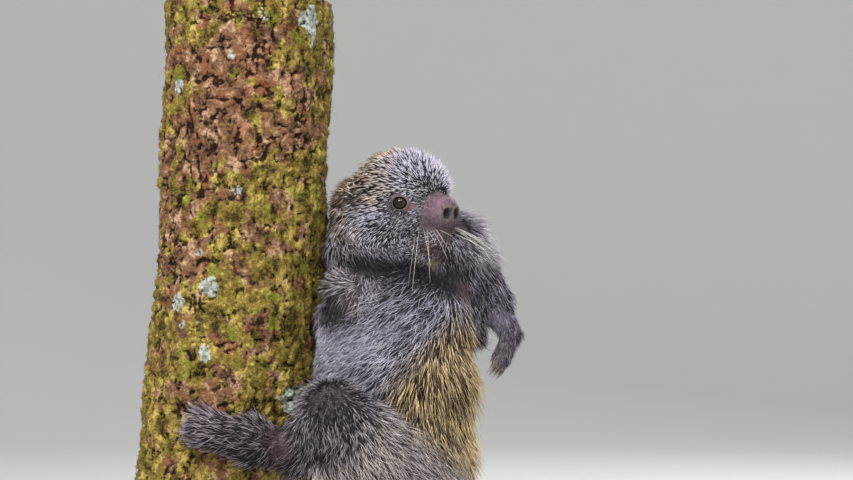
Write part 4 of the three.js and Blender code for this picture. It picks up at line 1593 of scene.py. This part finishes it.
@dataclass(frozen=True)
class LayerStyle:
    """What sets one layer of the coat apart, in degrees and shares of a strand's length."""

    growths: dict[str, Growth]
    seed: int
    sharpness: float
    swing: float = 13.0
    droop: float = 0.16
    curl: float = 0.14
    segments: int = 2
    sink: float = 0.5


class Layer(Enum):
    """The layers of the coat."""

    FUR = LayerStyle(FUR, 31, 2.5)
    QUILLS = LayerStyle(QUILLS, 37, 7.0, swing=7.0, droop=0.08, curl=0.04)
    FUZZ = LayerStyle(FUZZ, 41, 2.0, segments=1, sink=0.1)


@dataclass
class Coat:
    """Quills, guard hair and fuzz that grow on the skin."""

    skin: Skin
    marks: MarkingsAndPaintedLight
    most_faces: int = 190000
    lock_size: float = 3.6
    lock_pull: float = 0.75
    lengths: tuple[float, float] = (0.7, 1.2)
    widths: tuple[float, float] = (0.8, 1.2)
    tones: tuple[float, float] = (0.72, 1.2)
    patch_size: float = 26.0
    rust: Colour = srgb(230, 176, 132)

    def __post_init__(self) -> None:
        """Finds the zones of all the skin's faces."""
        self.flesh = self.marks.flesh
        self.names = self.flesh.anatomy.names
        self.noise = Noise(23)
        centres = self.skin.centres
        self.zones_of_faces = self.zones(centres, self.flesh.nearness(centres))
        self.covered = 1 - self.marks.bare(centres)

    def owner(self, share: Array, *starts: str) -> Array:
        """How much the parts whose names start so own each root."""
        picks = [i for i, name in enumerate(self.names) if name.startswith(starts)]
        return share[:, picks].sum(axis=1)

    def zones(self, points: Array, share: Array) -> dict[str, Array]:
        """How much each of the coat's zones owns each root.

        Args:
            points: the roots.
            share: how much each part of the body owns each root.

        Returns:
            Shares by zone, in the order in which the zones are laid over one another.
        """
        ahead, _, above = HEAD.local(points).T
        head = self.owner(share, "head", "muzzle", "jaw")
        torso = self.owner(share, "torso")
        turn = np.abs(self.marks.off_back(points)) + 7 * self.noise.at(points, 22)
        height = points[:, 2]
        frown = smooth(ahead + 0.55 * above + 3 * self.noise.at(points, 14), 35, 47) * smooth(above, 3, 14)
        front = smooth(ahead, 20, 34) * (1 - smooth(above, 3, 14))
        ears = np.max([self.marks.near(points, ear.centre, 9, 13) for ear in self.flesh.ears], axis=0)
        return {
            "flank": np.ones(len(points)),
            "neck": torso * smooth(height, 376, 400),
            "back": torso * (1 - smooth(turn, 78, 102)) * (1 - 0.9 * smooth(height, 356, 384)),
            "belly": torso * smooth(turn, 114, 142) * (1 - smooth(height, 345, 372)),
            "arm": self.owner(share, "upper_arm_left", "forearm_left", "hand_left"),
            "grip": self.owner(share, "upper_arm_right", "forearm_right", "hand_right"),
            "hand": self.owner(share, "hand"),
            "foot": self.owner(share, "foot", "shin"),
            "thigh": self.owner(share, "thigh"),
            "knee": self.knees(points),
            "tail": self.owner(share, "tail"),
            "shoulder": (1 - head) * self.marks.near(points, point(136, -2, 430), 16, 34),
            "head": head,
            "nape": head * (1 - smooth(ahead + 0.3 * above, -12, 0)),
            "throat": head * smooth(-above, 24, 33),
            "cheek": head * (1 - smooth(above, -8, 8)) * (1 - smooth(-above, 26, 34)),
            "forehead": head * frown,
            "face": head * front,
            "nose": self.marks.nose(points),
            "lips": self.marks.lips(points),
            "ear": ears,
        }

    def knees(self, points: Array) -> Array:
        """1 on the kneecaps, falling to 0 round them."""
        ends = [part.end for part in self.flesh.anatomy.parts if part.name.startswith("thigh")]
        return np.max([self.marks.near(points, knee, 20, 36) for knee in ends], axis=0)

    def table(self, growths: dict[str, Growth], zones: dict[str, Array]) -> Array:
        """Every strand's numbers, blended from its zones."""
        start = next(iter(growths.values())).row()
        table = np.tile(start, (len(zones["flank"]), 1))
        for name, growth in growths.items():
            table = lerp(table, growth.row(), np.clip(zones[name], 0, 1)[:, None])
        return table

    def lie(self, points: Array, out: Array, share: Array) -> Array:
        """The way the coat lies.

        Args:
            points: roots on the skin.
            out: the skin's outward direction there.
            share: how much each part of the body owns each root.

        Returns:
            Directions along the skin.
        """
        turn = self.marks.off_back(points)
        sweep = 1.1 * smooth(np.abs(turn), 50, 110) * smooth(points[:, 2], 250, 340)
        total = np.zeros_like(points)
        path = self.marks.tail
        for i, part in enumerate(self.flesh.anatomy.parts):
            if part.name == "torso":
                way = np.cross(UP, out) * (np.sign(turn) * sweep)[:, None] - UP
            elif part.name in ("head", "muzzle", "jaw"):
                way = (-HEAD.forward - (0.5 if part.name == "jaw" else 0.15) * UP)[None]
            elif part.name == "tail":
                along = np.clip(self.marks.tail_share(points) * (len(path) - 1), 0, len(path) - 1.01)
                way = np.diff(path, axis=0)[along.astype(int)]
            else:
                down = part.start - part.end if part.name.startswith("thigh") else part.end - part.start
                way = (unit(down) - 0.25 * UP)[None]
            total += share[:, i : i + 1] * unit(way)
        knee = self.knees(points)[:, None]
        tousled = self.noise.at(points, 12)[:, None] * WORLD[0] - 0.6 * WORLD[1] - UP
        total = lerp(total, tousled, 0.85 * knee)
        total -= out * np.sum(total * out, axis=1, keepdims=True)
        return unit(total)

    def grow(self, layer: Layer) -> Strands:
        """Grows one layer.

        Args:
            layer: the layer.

        Returns:
            Its strands over the whole skin.
        """
        style = layer.value
        draw = np.random.default_rng(style.seed)
        crowd = self.table(style.growths, self.zones_of_faces)[:, 0]
        if layer is Layer.FUZZ:
            crowd = crowd * np.max([self.zones_of_faces[name] for name in style.growths], axis=0)
        else:
            crowd = crowd * self.covered
        roots = self.skin.scatter(crowd, draw)
        count = len(roots)
        out = self.flesh.outward(roots)
        share = self.flesh.nearness(roots)
        zones = self.zones(roots, share)
        lie = self.lie(roots, out, share)
        swing = np.radians(draw.normal(0, style.swing, count))[:, None]
        lie = lie * np.cos(swing) + np.cross(out, lie) * np.sin(swing)
        table = self.table(style.growths, zones)
        _, length, width, lift, pale_share, band = table[:, :6].T
        root, dark, pale = table[:, 6:9], table[:, 9:12], table[:, 12:15]
        if layer is Layer.QUILLS:
            crown = zones["head"] * (1 - zones["face"]) * (1 - zones["forehead"]) * (1 - zones["cheek"])
            rusty = crown * smooth(self.noise.at(roots, 9), 0.2, 0.4)
            pale = blend_in(pale, self.rust, 0.65 * rusty)
        patches = self.noise.layered(roots, self.patch_size)
        light = draw.random(count) < pale_share + 0.3 * patches
        tone = draw.uniform(*self.tones, (count, 1)) * (1 + 0.35 * patches[:, None])
        tip = np.where(light[:, None], pale, dark) * tone
        strands = Strands(
            root=roots,
            out=out,
            lie=lie,
            length=length * draw.uniform(*self.lengths, count) * np.where(light, 1.08, 1.0),
            width=width * draw.uniform(*self.widths, count),
            lift=lift + draw.normal(0, 6, count) + 3.0 * light + 5 * patches,
            droop=np.full(count, style.droop),
            curl=draw.normal(0, style.curl, count),
            root_colour=self.marks.tinted(roots, root, 0.5),
            tip_colour=self.marks.tinted(roots, tip, 0.85),
            band=band + draw.normal(0, 0.07, count),
            segments=style.segments,
            sink=style.sink,
        )
        loose = 1 - zones["head"] if layer is Layer.FUR else 0.7 * zones["forehead"]
        self.lock(strands, loose)
        return self.clear_of_trunk(strands)

    def lock(self, strands: Strands, share: Array) -> None:
        """Draws the tips of neighbouring strands together into locks, by a share for each."""
        warp = np.stack([self.noise.at(strands.root + 50 * i, 9) for i in range(3)], axis=1)
        cell = np.floor((strands.root + 2.5 * warp) / self.lock_size).astype(np.int64)
        _, lock = np.unique(cell @ np.array([73856093, 19349663, 83492791]), return_inverse=True)
        middle = np.stack([np.bincount(lock, strands.root[:, a]) for a in range(3)], axis=1)
        middle = middle / np.bincount(lock)[:, None]
        strands.pull = (middle[lock] - strands.root) * self.lock_pull * share[:, None]

    def clear_of_trunk(self, strands: Strands) -> Strands:
        """Leaves out strands that would grow into the bark."""
        tips = strands.root + strands.lie * (strands.length * 0.8)[:, None] + strands.out * 1.0
        high = strands.root + strands.out * 3.0
        return strands.part((TRUNK.distance(tips) > -1.0) & (TRUNK.distance(high) > 0.5))

    def unwrap(self, roots: Array, owners: Array, members: list[int]) -> Array:
        """Each root's place on the flattened skin, with one tile a part.

        Args:
            roots: places on the skin.
            owners: the part that each is on.
            members: the parts that share this map.

        Returns:
            Places between 0 and 1.
        """
        columns = math.ceil(math.sqrt(len(members)))
        spots = np.zeros((len(roots), 2))
        for number, member in enumerate(members):
            here = owners == member
            flat = self.flesh.anatomy.parts[member].unwrap(roots[here])
            corner = np.array([number % columns, number // columns]) / columns
            spots[here] = corner + 0.002 + flat * (1 / columns - 0.008)
        return spots

    def dress(self, layer: Layer) -> None:
        """Makes a layer's pieces, one or more for each length of the body, none too heavy.

        Args:
            layer: the layer.
        """
        strands = self.grow(layer)
        log.info("%s: %d strands", layer.name, len(strands.root))
        name = layer.name.lower()
        finish = CoatFinish(f"porcupine_{name}", layer.value.sharpness).material()
        owners = self.flesh.nearness(strands.root).argmax(axis=1)
        torso_slot = "coat_quills" if layer is Layer.QUILLS else "coat_grey"
        groups = {
            ("head", "muzzle", "jaw"): "coat_head",
            ("upper_arm", "forearm", "hand"): "coat_grey",
            ("thigh", "shin", "foot"): "coat_dark",
            ("tail",): "coat_dark",
            ("torso",): torso_slot,
        }
        for starts, slot in groups.items():
            members = [i for i, part in enumerate(self.names) if part.startswith(starts)]
            rows = np.flatnonzero(np.isin(owners, members))
            rows = rows[np.argsort(strands.root[rows, 2], kind="stable")]
            triangles = strands.segments * 6 - 3
            lots = math.ceil(len(rows) * triangles / self.most_faces)
            for number in range(lots):
                lot = np.array_split(rows, lots)[number]
                some = strands.part(lot)
                thing = some.piece(f"{name}_{starts[0]}_{number + 1}")
                some.lay_flat(thing, self.unwrap(some.root, owners[lot], members))
                register(thing, finish)

    def build(self) -> None:
        """Grows every layer."""
        for layer in Layer:
            self.dress(layer)


# Eyes, claws and whiskers
@dataclass
class Eyes:
    """Two wet, dark eyes."""

    rings: int = 28
    sides: int = 40
    cornea: float = 0.35

    def build(self) -> None:
        """Makes both eyes."""
        finish = EyeFinish().material()
        tilt = np.linspace(0, np.pi, self.rings)[1:-1]
        turn = np.linspace(0, 2 * np.pi, self.sides, endpoint=False)
        tilts, turns = (grid.ravel() for grid in np.meshgrid(tilt, turn, indexing="ij"))
        beside, over = np.sin(tilts) * np.cos(turns), np.sin(tilts) * np.sin(turns)
        ways = np.stack([beside, over, np.cos(tilts)], axis=1)
        ways = np.concatenate([ways, [UP, -UP]])
        angle = np.arccos(np.clip(ways[:, 2], -1, 1))
        bulge = EYE.radius + self.cornea * (1 - smooth(angle, 0.4, 0.9)) - self.cornea * 0.6
        front, back, last = len(ways) - 2, len(ways) - 1, (len(tilt) - 1) * self.sides
        quads = bands(len(tilt), self.sides)[:, (0, 3, 2, 1)]
        ends = np.concatenate([fan(0, self.sides, front), fan(last, self.sides, back)[:, ::-1]])
        for side, name in zip(SIDES, ("left", "right")):
            places = EYE.centre(side) + (ways * bulge[:, None]) @ EYE.axes(side)
            thing = make_mesh(f"eyeball_{name}", places, [quads, ends])
            paint(thing, "from_gaze", angle)
            register(thing, finish, [f"eye_{name}"])


@dataclass
class Tubes:
    """Closed tubes along lines, each with a point at its end, that make one piece."""

    sides: int
    flat: float = 1.0
    vertices: list[Array] = field(default_factory=list)
    quads: list[Array] = field(default_factory=list)
    ends: list[Array] = field(default_factory=list)
    along: list[Array] = field(default_factory=list)

    def add(self, line: Array, radii: Array) -> None:
        """Adds a tube.

        Args:
            line: places along it.
            radii: one for each place but the last.
        """
        rings, sides = len(line) - 1, self.sides
        bend = np.cross(line[1] - line[0], line[-1] - line[0])
        across = unit(bend) if norm(bend) > 1e-6 else unit(np.cross(line[-1] - line[0], UP))
        places = []
        for i in range(rings):
            heading = unit(line[i + 1] - line[max(i - 1, 0)])
            beside = unit(across - heading * (across @ heading))
            over = np.cross(heading, beside)
            for side in range(sides):
                turn = 2 * math.pi * side / sides
                ring = beside * math.cos(turn) * self.flat + over * math.sin(turn)
                places.append(line[i] + ring * radii[i])
        first, tip = sum(map(len, self.vertices)), len(places)
        self.vertices.append(np.array([*places, line[-1], line[0]]))
        self.quads.append(first + bands(rings, sides))
        self.ends.append(first + fan((rings - 1) * sides, sides, tip))
        self.ends.append(first + fan(0, sides, tip + 1)[:, ::-1])
        self.along.append(np.append(np.repeat(np.arange(rings) / rings, sides), [1.0, 0.0]))

    def piece(self, name: str) -> bpy.types.Object:
        """Makes the mesh of all tubes."""
        faces = [np.concatenate(self.quads), np.concatenate(self.ends)]
        thing = make_mesh(name, np.concatenate(self.vertices), faces)
        paint(thing, "along", np.concatenate(self.along))
        return thing


@dataclass
class Claws:
    """Curved claws on every digit."""

    anatomy: Anatomy
    steps: int = 7
    sides: int = 8
    flat: float = 0.72
    hook: float = 0.42
    girth: float = 0.55
    blunt: float = 0.12

    def build(self) -> None:
        """Makes all claws as one piece."""
        tubes = Tubes(self.sides, self.flat)
        share = np.linspace(0, 1, self.steps + 1)
        for digit in self.anatomy.digits:
            line = digit.claw_root + np.outer(digit.claw_length * share, digit.aim)
            line = line + np.outer(self.hook * digit.claw_length * share**2, digit.hook)
            girth = digit.form.start_radius * self.girth * (1 - share[:-1] ** 1.6) + self.blunt
            tubes.add(line, girth)
        register(tubes.piece("claws"), ClawFinish().material())


@dataclass
class Whiskers:
    """Long pale whiskers in a fan on each side of the lips."""

    flesh: Flesh
    count: int = 8
    sides: int = 4
    thickness: float = 0.21
    longest: float = 54.0
    shortest: float = 28.0
    droop: float = 0.16

    def build(self) -> None:
        """Makes all whiskers as one piece."""
        draw = np.random.default_rng(53)
        steps = np.linspace(0, 1, 9)
        tubes = Tubes(self.sides)
        for side in SIDES:
            for share in (np.arange(self.count) + 0.5) / self.count:
                ahead = lerp(41, 62, share) + draw.normal(0, 2)
                root = HEAD.at(ahead, side * 9, lerp(-22, -15, draw.random()))
                root = self.flesh.settle(root[None], 6, 3.0)[0]
                out = self.flesh.outward(root[None])[0]
                fanned = lerp(-0.05, 1.7, share) + draw.normal(0, 0.22)
                way = unit(out * 0.85 + HEAD.forward * math.sin(fanned) - UP * math.cos(fanned))
                length = lerp(self.longest, self.shortest, share) * draw.uniform(0.8, 1.1)
                line = root - out * 0.5 + np.outer(steps * length, way)
                line = line - np.outer(self.droop * length * steps**2, UP)
                tubes.add(line, self.thickness * draw.uniform(0.6, 1.1) * (1 - 0.75 * steps[:-1]))
        register(tubes.piece("whiskers"), WhiskerFinish().material())


# Trunk and stand
@dataclass
class TrunkPiece:
    """The trunk with its bark, moss, lichen and sawn ends."""

    flesh: Flesh
    columns: int = 300
    rows: int = 400
    moss_leaves: int = 46000
    threads: int = 260
    clearance: float = 0.6
    deepest: float = 2.5
    level: float = 1.5
    swing: float = 3.4
    lichens: tuple[Triple, ...] = (
        (312, 24, 15), (209, 287, 8), (178, 302, 8), (290, 398, 13), (180, 88, 7), (236, 190, 6),
        (205, 352, 7),
    )
    red_patches: tuple[Triple, ...] = (
        (226, 62, 34), (205, 150, 26), (258, 148, 18), (190, 258, 20), (240, 262, 14), (285, 205, 16),
        (212, 392, 18), (262, 330, 14),
    )

    def __post_init__(self) -> None:
        """Prepares the noise of the bark."""
        self.noise = Noise(7)

    def patches(self, points: Array, spots: Sequence[Triple]) -> Array:
        """1 near the places that some pixels of the photograph show, fading to 0 at their radii."""
        share = np.zeros(len(points))
        wobble = 0.75 * self.noise.layered(points, 9)
        for across, down, radius in spots:
            away = norm(points - VIEW.meets(across, down, TRUNK.distance)) / radius
            share = np.maximum(share, 1 - smooth(away + wobble, 0.3, 1.2))
        return share

    def moss(self, points: Array) -> Array:
        """How mossy the bark is, from 0 to 1."""
        angle = np.arctan2(points[:, 1], points[:, 0] - TRUNK.centre(points[:, 2])[:, 0])
        side = 0.16 * np.cos(angle + 0.45) + 0.1 * np.cos(2 * angle + 0.2)
        low = 0.14 * (1 - smooth(points[:, 2], 330, 520))
        mottled = 0.6 * self.noise.at(points, 13) + 0.45 * self.noise.at(points + 7, 6)
        mottled = mottled + 0.5 * self.noise.layered(points + 40, 50)
        return np.clip(0.5 + side + low + mottled - 0.55 * self.patches(points, self.red_patches), 0, 1)

    def relief(self, points: Array, moss: Array) -> Array:
        """How far the bark stands out from its main ridges, in millimetres."""
        tall = points * point(1, 1, 0.75)
        flakes = smooth(np.abs(self.noise.at(tall, 7.0)), 0.0, 0.5) * 1.9
        grains = smooth(np.abs(self.noise.at(points + 33, 4.2)), 0.0, 0.5) * 1.4
        cushions = moss * (0.5 + 1.2 * self.noise.at(points + 15, 5.5))
        return flakes + grains + np.maximum(cushions, 0) - self.level

    def build(self) -> None:
        """Makes the bark, the sawn ends and the moss."""
        turn = np.linspace(0, 2 * np.pi, self.columns, endpoint=False)
        heights = TRUNK.bottom + TRUNK.length * np.linspace(0, 1, self.rows + 1)
        z, angle = (grid.ravel() for grid in np.meshgrid(heights, turn, indexing="ij"))
        ways = np.stack([np.cos(angle), np.sin(angle), np.zeros_like(angle)], axis=1)
        plain = TRUNK.centre(z) + ways * (TRUNK.radius(z) + TRUNK.ridges(angle, z))[:, None]
        moss = self.moss(plain)
        room = self.flesh.distance(plain) - self.clearance
        relief = np.minimum(self.relief(plain, moss), np.maximum(room, -self.deepest))
        places = plain + ways * relief[:, None]
        scurf = smooth(self.noise.layered(plain + 90, 24), 0.42, 0.6) * (1 - 0.6 * moss)
        lichen = np.maximum(0.8 * scurf, self.patches(plain, self.lichens))
        thing = make_mesh("trunk_bark", places, bands(self.rows + 1, self.columns))
        paint(thing, "moss", moss)
        paint(thing, "lichen", lichen)
        # The relief also sets where the bark's material paints shade into its low places.
        paint(thing, "relief", np.clip((relief + self.level) / self.swing, 0, 1))
        paint(thing, "tone", 0.5 + 0.6 * self.noise.at(plain * point(1, 1, 0.8) + 60, 5.5))
        register(thing, BarkFinish().material(), ["perch_trunk"])
        self.ends(places)
        self.leaves(places, ways, moss)

    def ends(self, places: Array) -> None:
        """Makes the sawn ends.

        Args:
            places: the bark's vertices, of which the first and last ring are taken.
        """
        finish = SawnFinish().material()
        rings = {"bottom": places[: self.columns], "top": places[-self.columns :]}
        for name, rim in rings.items():
            middle = rim.mean(axis=0)
            shares = np.linspace(1, 0, 12)[:-1]
            levels = [lerp(middle, rim, share) for share in shares]
            vertices = np.concatenate([*levels, middle[None]])
            last = (len(shares) - 1) * self.columns
            faces = [bands(len(shares), self.columns), fan(last, self.columns, len(vertices) - 1)]
            if name == "bottom":
                faces = [some[:, ::-1] for some in faces]
            thing = make_mesh(f"trunk_sawn_{name}", vertices, faces)
            paint(thing, "rings", np.concatenate([np.repeat(shares, self.columns), [0.0]]))
            register(thing, finish)

    def leaves(self, places: Array, ways: Array, moss: Array) -> None:
        """Makes the moss's fine leaves and some long threads that hang from the bark.

        Args:
            places: the bark's vertices.
            ways: the level direction outwards at each.
            moss: how mossy each is.
        """
        draw = np.random.default_rng(61)
        clear = self.flesh.distance(places) > 4.0
        inside = (places[:, 2] > TRUNK.bottom + 6) & (places[:, 2] < TRUNK.bottom + TRUNK.length - 4)
        mossy = draw.choice(np.flatnonzero((moss > 0.4) & clear & inside), size=self.moss_leaves)
        hanging = draw.choice(np.flatnonzero(clear & inside), size=self.threads)
        pick = np.concatenate([mossy, hanging])
        count, thread = len(pick), np.arange(len(pick)) >= self.moss_leaves
        out = ways[pick]
        roots = places[pick] + draw.normal(0, 0.7, (count, 3)) * (1 - np.abs(out))
        lie = unit(draw.normal(0, 1, (count, 3)) - UP * np.where(thread, 4.0, 0.8)[:, None])
        lie = unit(lie - out * np.sum(lie * out, axis=1, keepdims=True))
        tone = draw.random((count, 1))
        leaf = lerp(point(*srgb(62, 62, 16)), point(*srgb(166, 164, 64)), tone)
        gold = lerp(point(*srgb(104, 78, 34)), point(*srgb(190, 162, 86)), tone)
        brown = (self.noise.at(roots, 17) > 0.1)[:, None] | (thread[:, None] & (tone > 0.4))
        colour = np.where(brown, gold, leaf)
        strands = Strands(
            root=roots,
            out=out,
            lie=lie,
            length=np.where(thread, draw.uniform(7, 26, count), draw.uniform(1.4, 4.6, count) * moss[pick]),
            width=np.where(thread, 0.35, 0.7),
            lift=np.where(thread, draw.uniform(15, 55, count), draw.uniform(20, 75, count)),
            droop=np.where(thread, 0.45, 0.25),
            curl=draw.normal(0, 0.3, count),
            root_colour=colour * 0.5,
            tip_colour=colour,
            band=np.full(count, 0.4),
            segments=1,
            sink=0.4,
            waist=1.0,
            flat=0.5,
        )
        thing = strands.piece("trunk_moss")
        angle = np.arctan2(out[:, 1], out[:, 0]) / (2 * np.pi) + 0.5
        tall_share = (roots[:, 2] - TRUNK.bottom) / TRUNK.length
        strands.lay_flat(thing, np.stack([angle, tall_share], axis=1) * 0.99 + BAKE_WIDTH)
        register(thing, CoatFinish("trunk_moss", 2.0, 0.85).material())


@dataclass
class Stand:
    """The display stand: a bevelled wooden base and two steel rods."""

    width: float = 300.0
    depth: float = 250.0
    thickness: float = 18.0
    corner: float = 18.0
    bevel: float = 1.6
    corner_steps: int = 10

    def outline(self, inset: float) -> Array:
        """The base's round-cornered outline, drawn in by an inset."""
        places = []
        for x, y, start in ((1, -1, -90), (1, 1, 0), (-1, 1, 90), (-1, -1, 180)):
            centre = point(x * (self.width / 2 - self.corner), y * (self.depth / 2 - self.corner))
            for i in range(self.corner_steps + 1):
                turn = math.radians(start + 90 * i / self.corner_steps)
                places.append(centre + (self.corner - inset) * point(math.cos(turn), math.sin(turn)))
        return np.array(places)

    def build(self) -> None:
        """Makes the base and dresses the rods."""
        steps = np.radians(np.linspace(0, 90, 5))
        inset, rise = self.bevel * (1 - np.sin(steps)), self.bevel * (1 - np.cos(steps))
        rings = []
        for drawn_in, height in [*zip(inset, rise), *zip(inset[::-1], self.thickness - rise[::-1])]:
            ring = self.outline(drawn_in)
            rings.append(np.column_stack([ring, np.full(len(ring), height)]))
        count = len(rings[0])
        vertices = np.concatenate([*rings, [[0, 0, 0], [0, 0, self.thickness]]])
        under, over, last = len(vertices) - 2, len(vertices) - 1, (len(rings) - 1) * count
        ends = np.concatenate([fan(0, count, under)[:, ::-1], fan(last, count, over)])
        thing = make_mesh("stand_board", vertices, [bands(len(rings), count), ends])
        edges = thing.modifiers.new("edges", "WEIGHTED_NORMAL")
        edges.keep_sharp = True
        register(thing, StandWoodFinish().material(), ["stand_base"])
        steel = SteelFinish().material()
        for name in ("stand_rod_left", "stand_rod_right"):
            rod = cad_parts[name]
            rod.data.materials.clear()
            rod.data.materials.append(steel)
            rod.data.polygons.foreach_set("use_smooth", np.ones(len(rod.data.polygons), bool))


# Studio
@dataclass
class Studio:
    """Camera, floor and soft light."""

    floor_size: float = 3400.0
    wall_curve: float = 1500.0
    wall_top: float = 2800.0
    sides: int = 128
    aim: Triple = (0.08, 0.0, 0.4)

    def build(self) -> None:
        """Sets the studio up."""
        camera = bpy.data.cameras.new("camera")
        camera.sensor_fit = "HORIZONTAL"
        camera.angle = 2 * math.atan(VIEW.width / 2 / VIEW.focal)
        camera.clip_end = 60
        view = bpy.data.objects.new("camera", camera)
        view.location = VIEW.place * MM
        view.rotation_euler = (math.radians(90), 0, 0)
        bpy.context.scene.collection.objects.link(view)
        bpy.context.scene.camera = view
        bend = np.radians(np.linspace(0, 90, 13))
        radii = [self.floor_size / 2, *(self.floor_size + self.wall_curve * np.sin(bend))]
        heights = [0.0, *(self.wall_curve * (1 - np.cos(bend)))]
        radii, heights = np.array([*radii, radii[-1]]), np.array([*heights, self.wall_top])
        turn = np.linspace(0, 2 * np.pi, self.sides, endpoint=False)
        rings = np.stack([np.outer(radii, np.cos(turn)), np.outer(radii, np.sin(turn)),
                          np.outer(heights, np.ones(self.sides))], axis=-1)
        vertices = np.concatenate([rings.reshape(-1, 3), [[0, 0, 0]]])
        faces = [bands(len(radii), self.sides)[:, ::-1], fan(0, self.sides, len(vertices) - 1)]
        floor = make_mesh("studio_floor", vertices, faces)
        floor.data.materials.append(FloorFinish().material())
        world = bpy.data.worlds.new("studio")
        bpy.context.scene.world = world
        world.use_nodes = True
        sky = world.node_tree.nodes["Background"].inputs
        sky["Color"].default_value = (*srgb(228, 232, 240), 1)
        sky["Strength"].default_value = 0.72
        self.light("key", (-1.3, -2.2, 2.3), 1.1, 88)
        self.light("fill", (2.4, -1.8, 1.0), 2.0, 14)
        self.light("back", (1.2, 2.2, 2.0), 1.6, 60)
        self.light("catch", (0.15, -1.3, 1.75), 0.4, 11)
        bpy.context.scene.view_settings.view_transform = "Standard"

    def light(self, name: str, place: Triple, size: float, power: float) -> None:
        """Adds a soft square light that faces the animal.

        Args:
            name: its name.
            place: where it hangs, in metres.
            size: its side in metres.
            power: in watts.
        """
        lamp = bpy.data.lights.new(name, "AREA")
        lamp.size = size
        lamp.energy = power
        thing = bpy.data.objects.new(name, lamp)
        thing.location = place
        way = np.array(self.aim) - np.array(place)
        level = math.hypot(way[0], way[1])
        thing.rotation_euler = (math.atan2(level, -way[2]), 0, math.atan2(way[1], way[0]) - math.pi / 2)
        bpy.context.scene.collection.objects.link(thing)


def main() -> None:
    """Builds every piece in order."""
    logging.basicConfig(level=logging.INFO, format="%(name)s: %(message)s")
    Studio().build()
    anatomy = Anatomy()
    flesh = Flesh(anatomy)
    marks = MarkingsAndPaintedLight(flesh)
    skin = Skin(flesh, marks)
    skin.build()
    Coat(skin, marks).build()
    Eyes().build()
    Claws(anatomy).build()
    Whiskers(flesh).build()
    TrunkPiece(flesh).build()
    Stand().build()


if __name__ == "__main__":
    main()
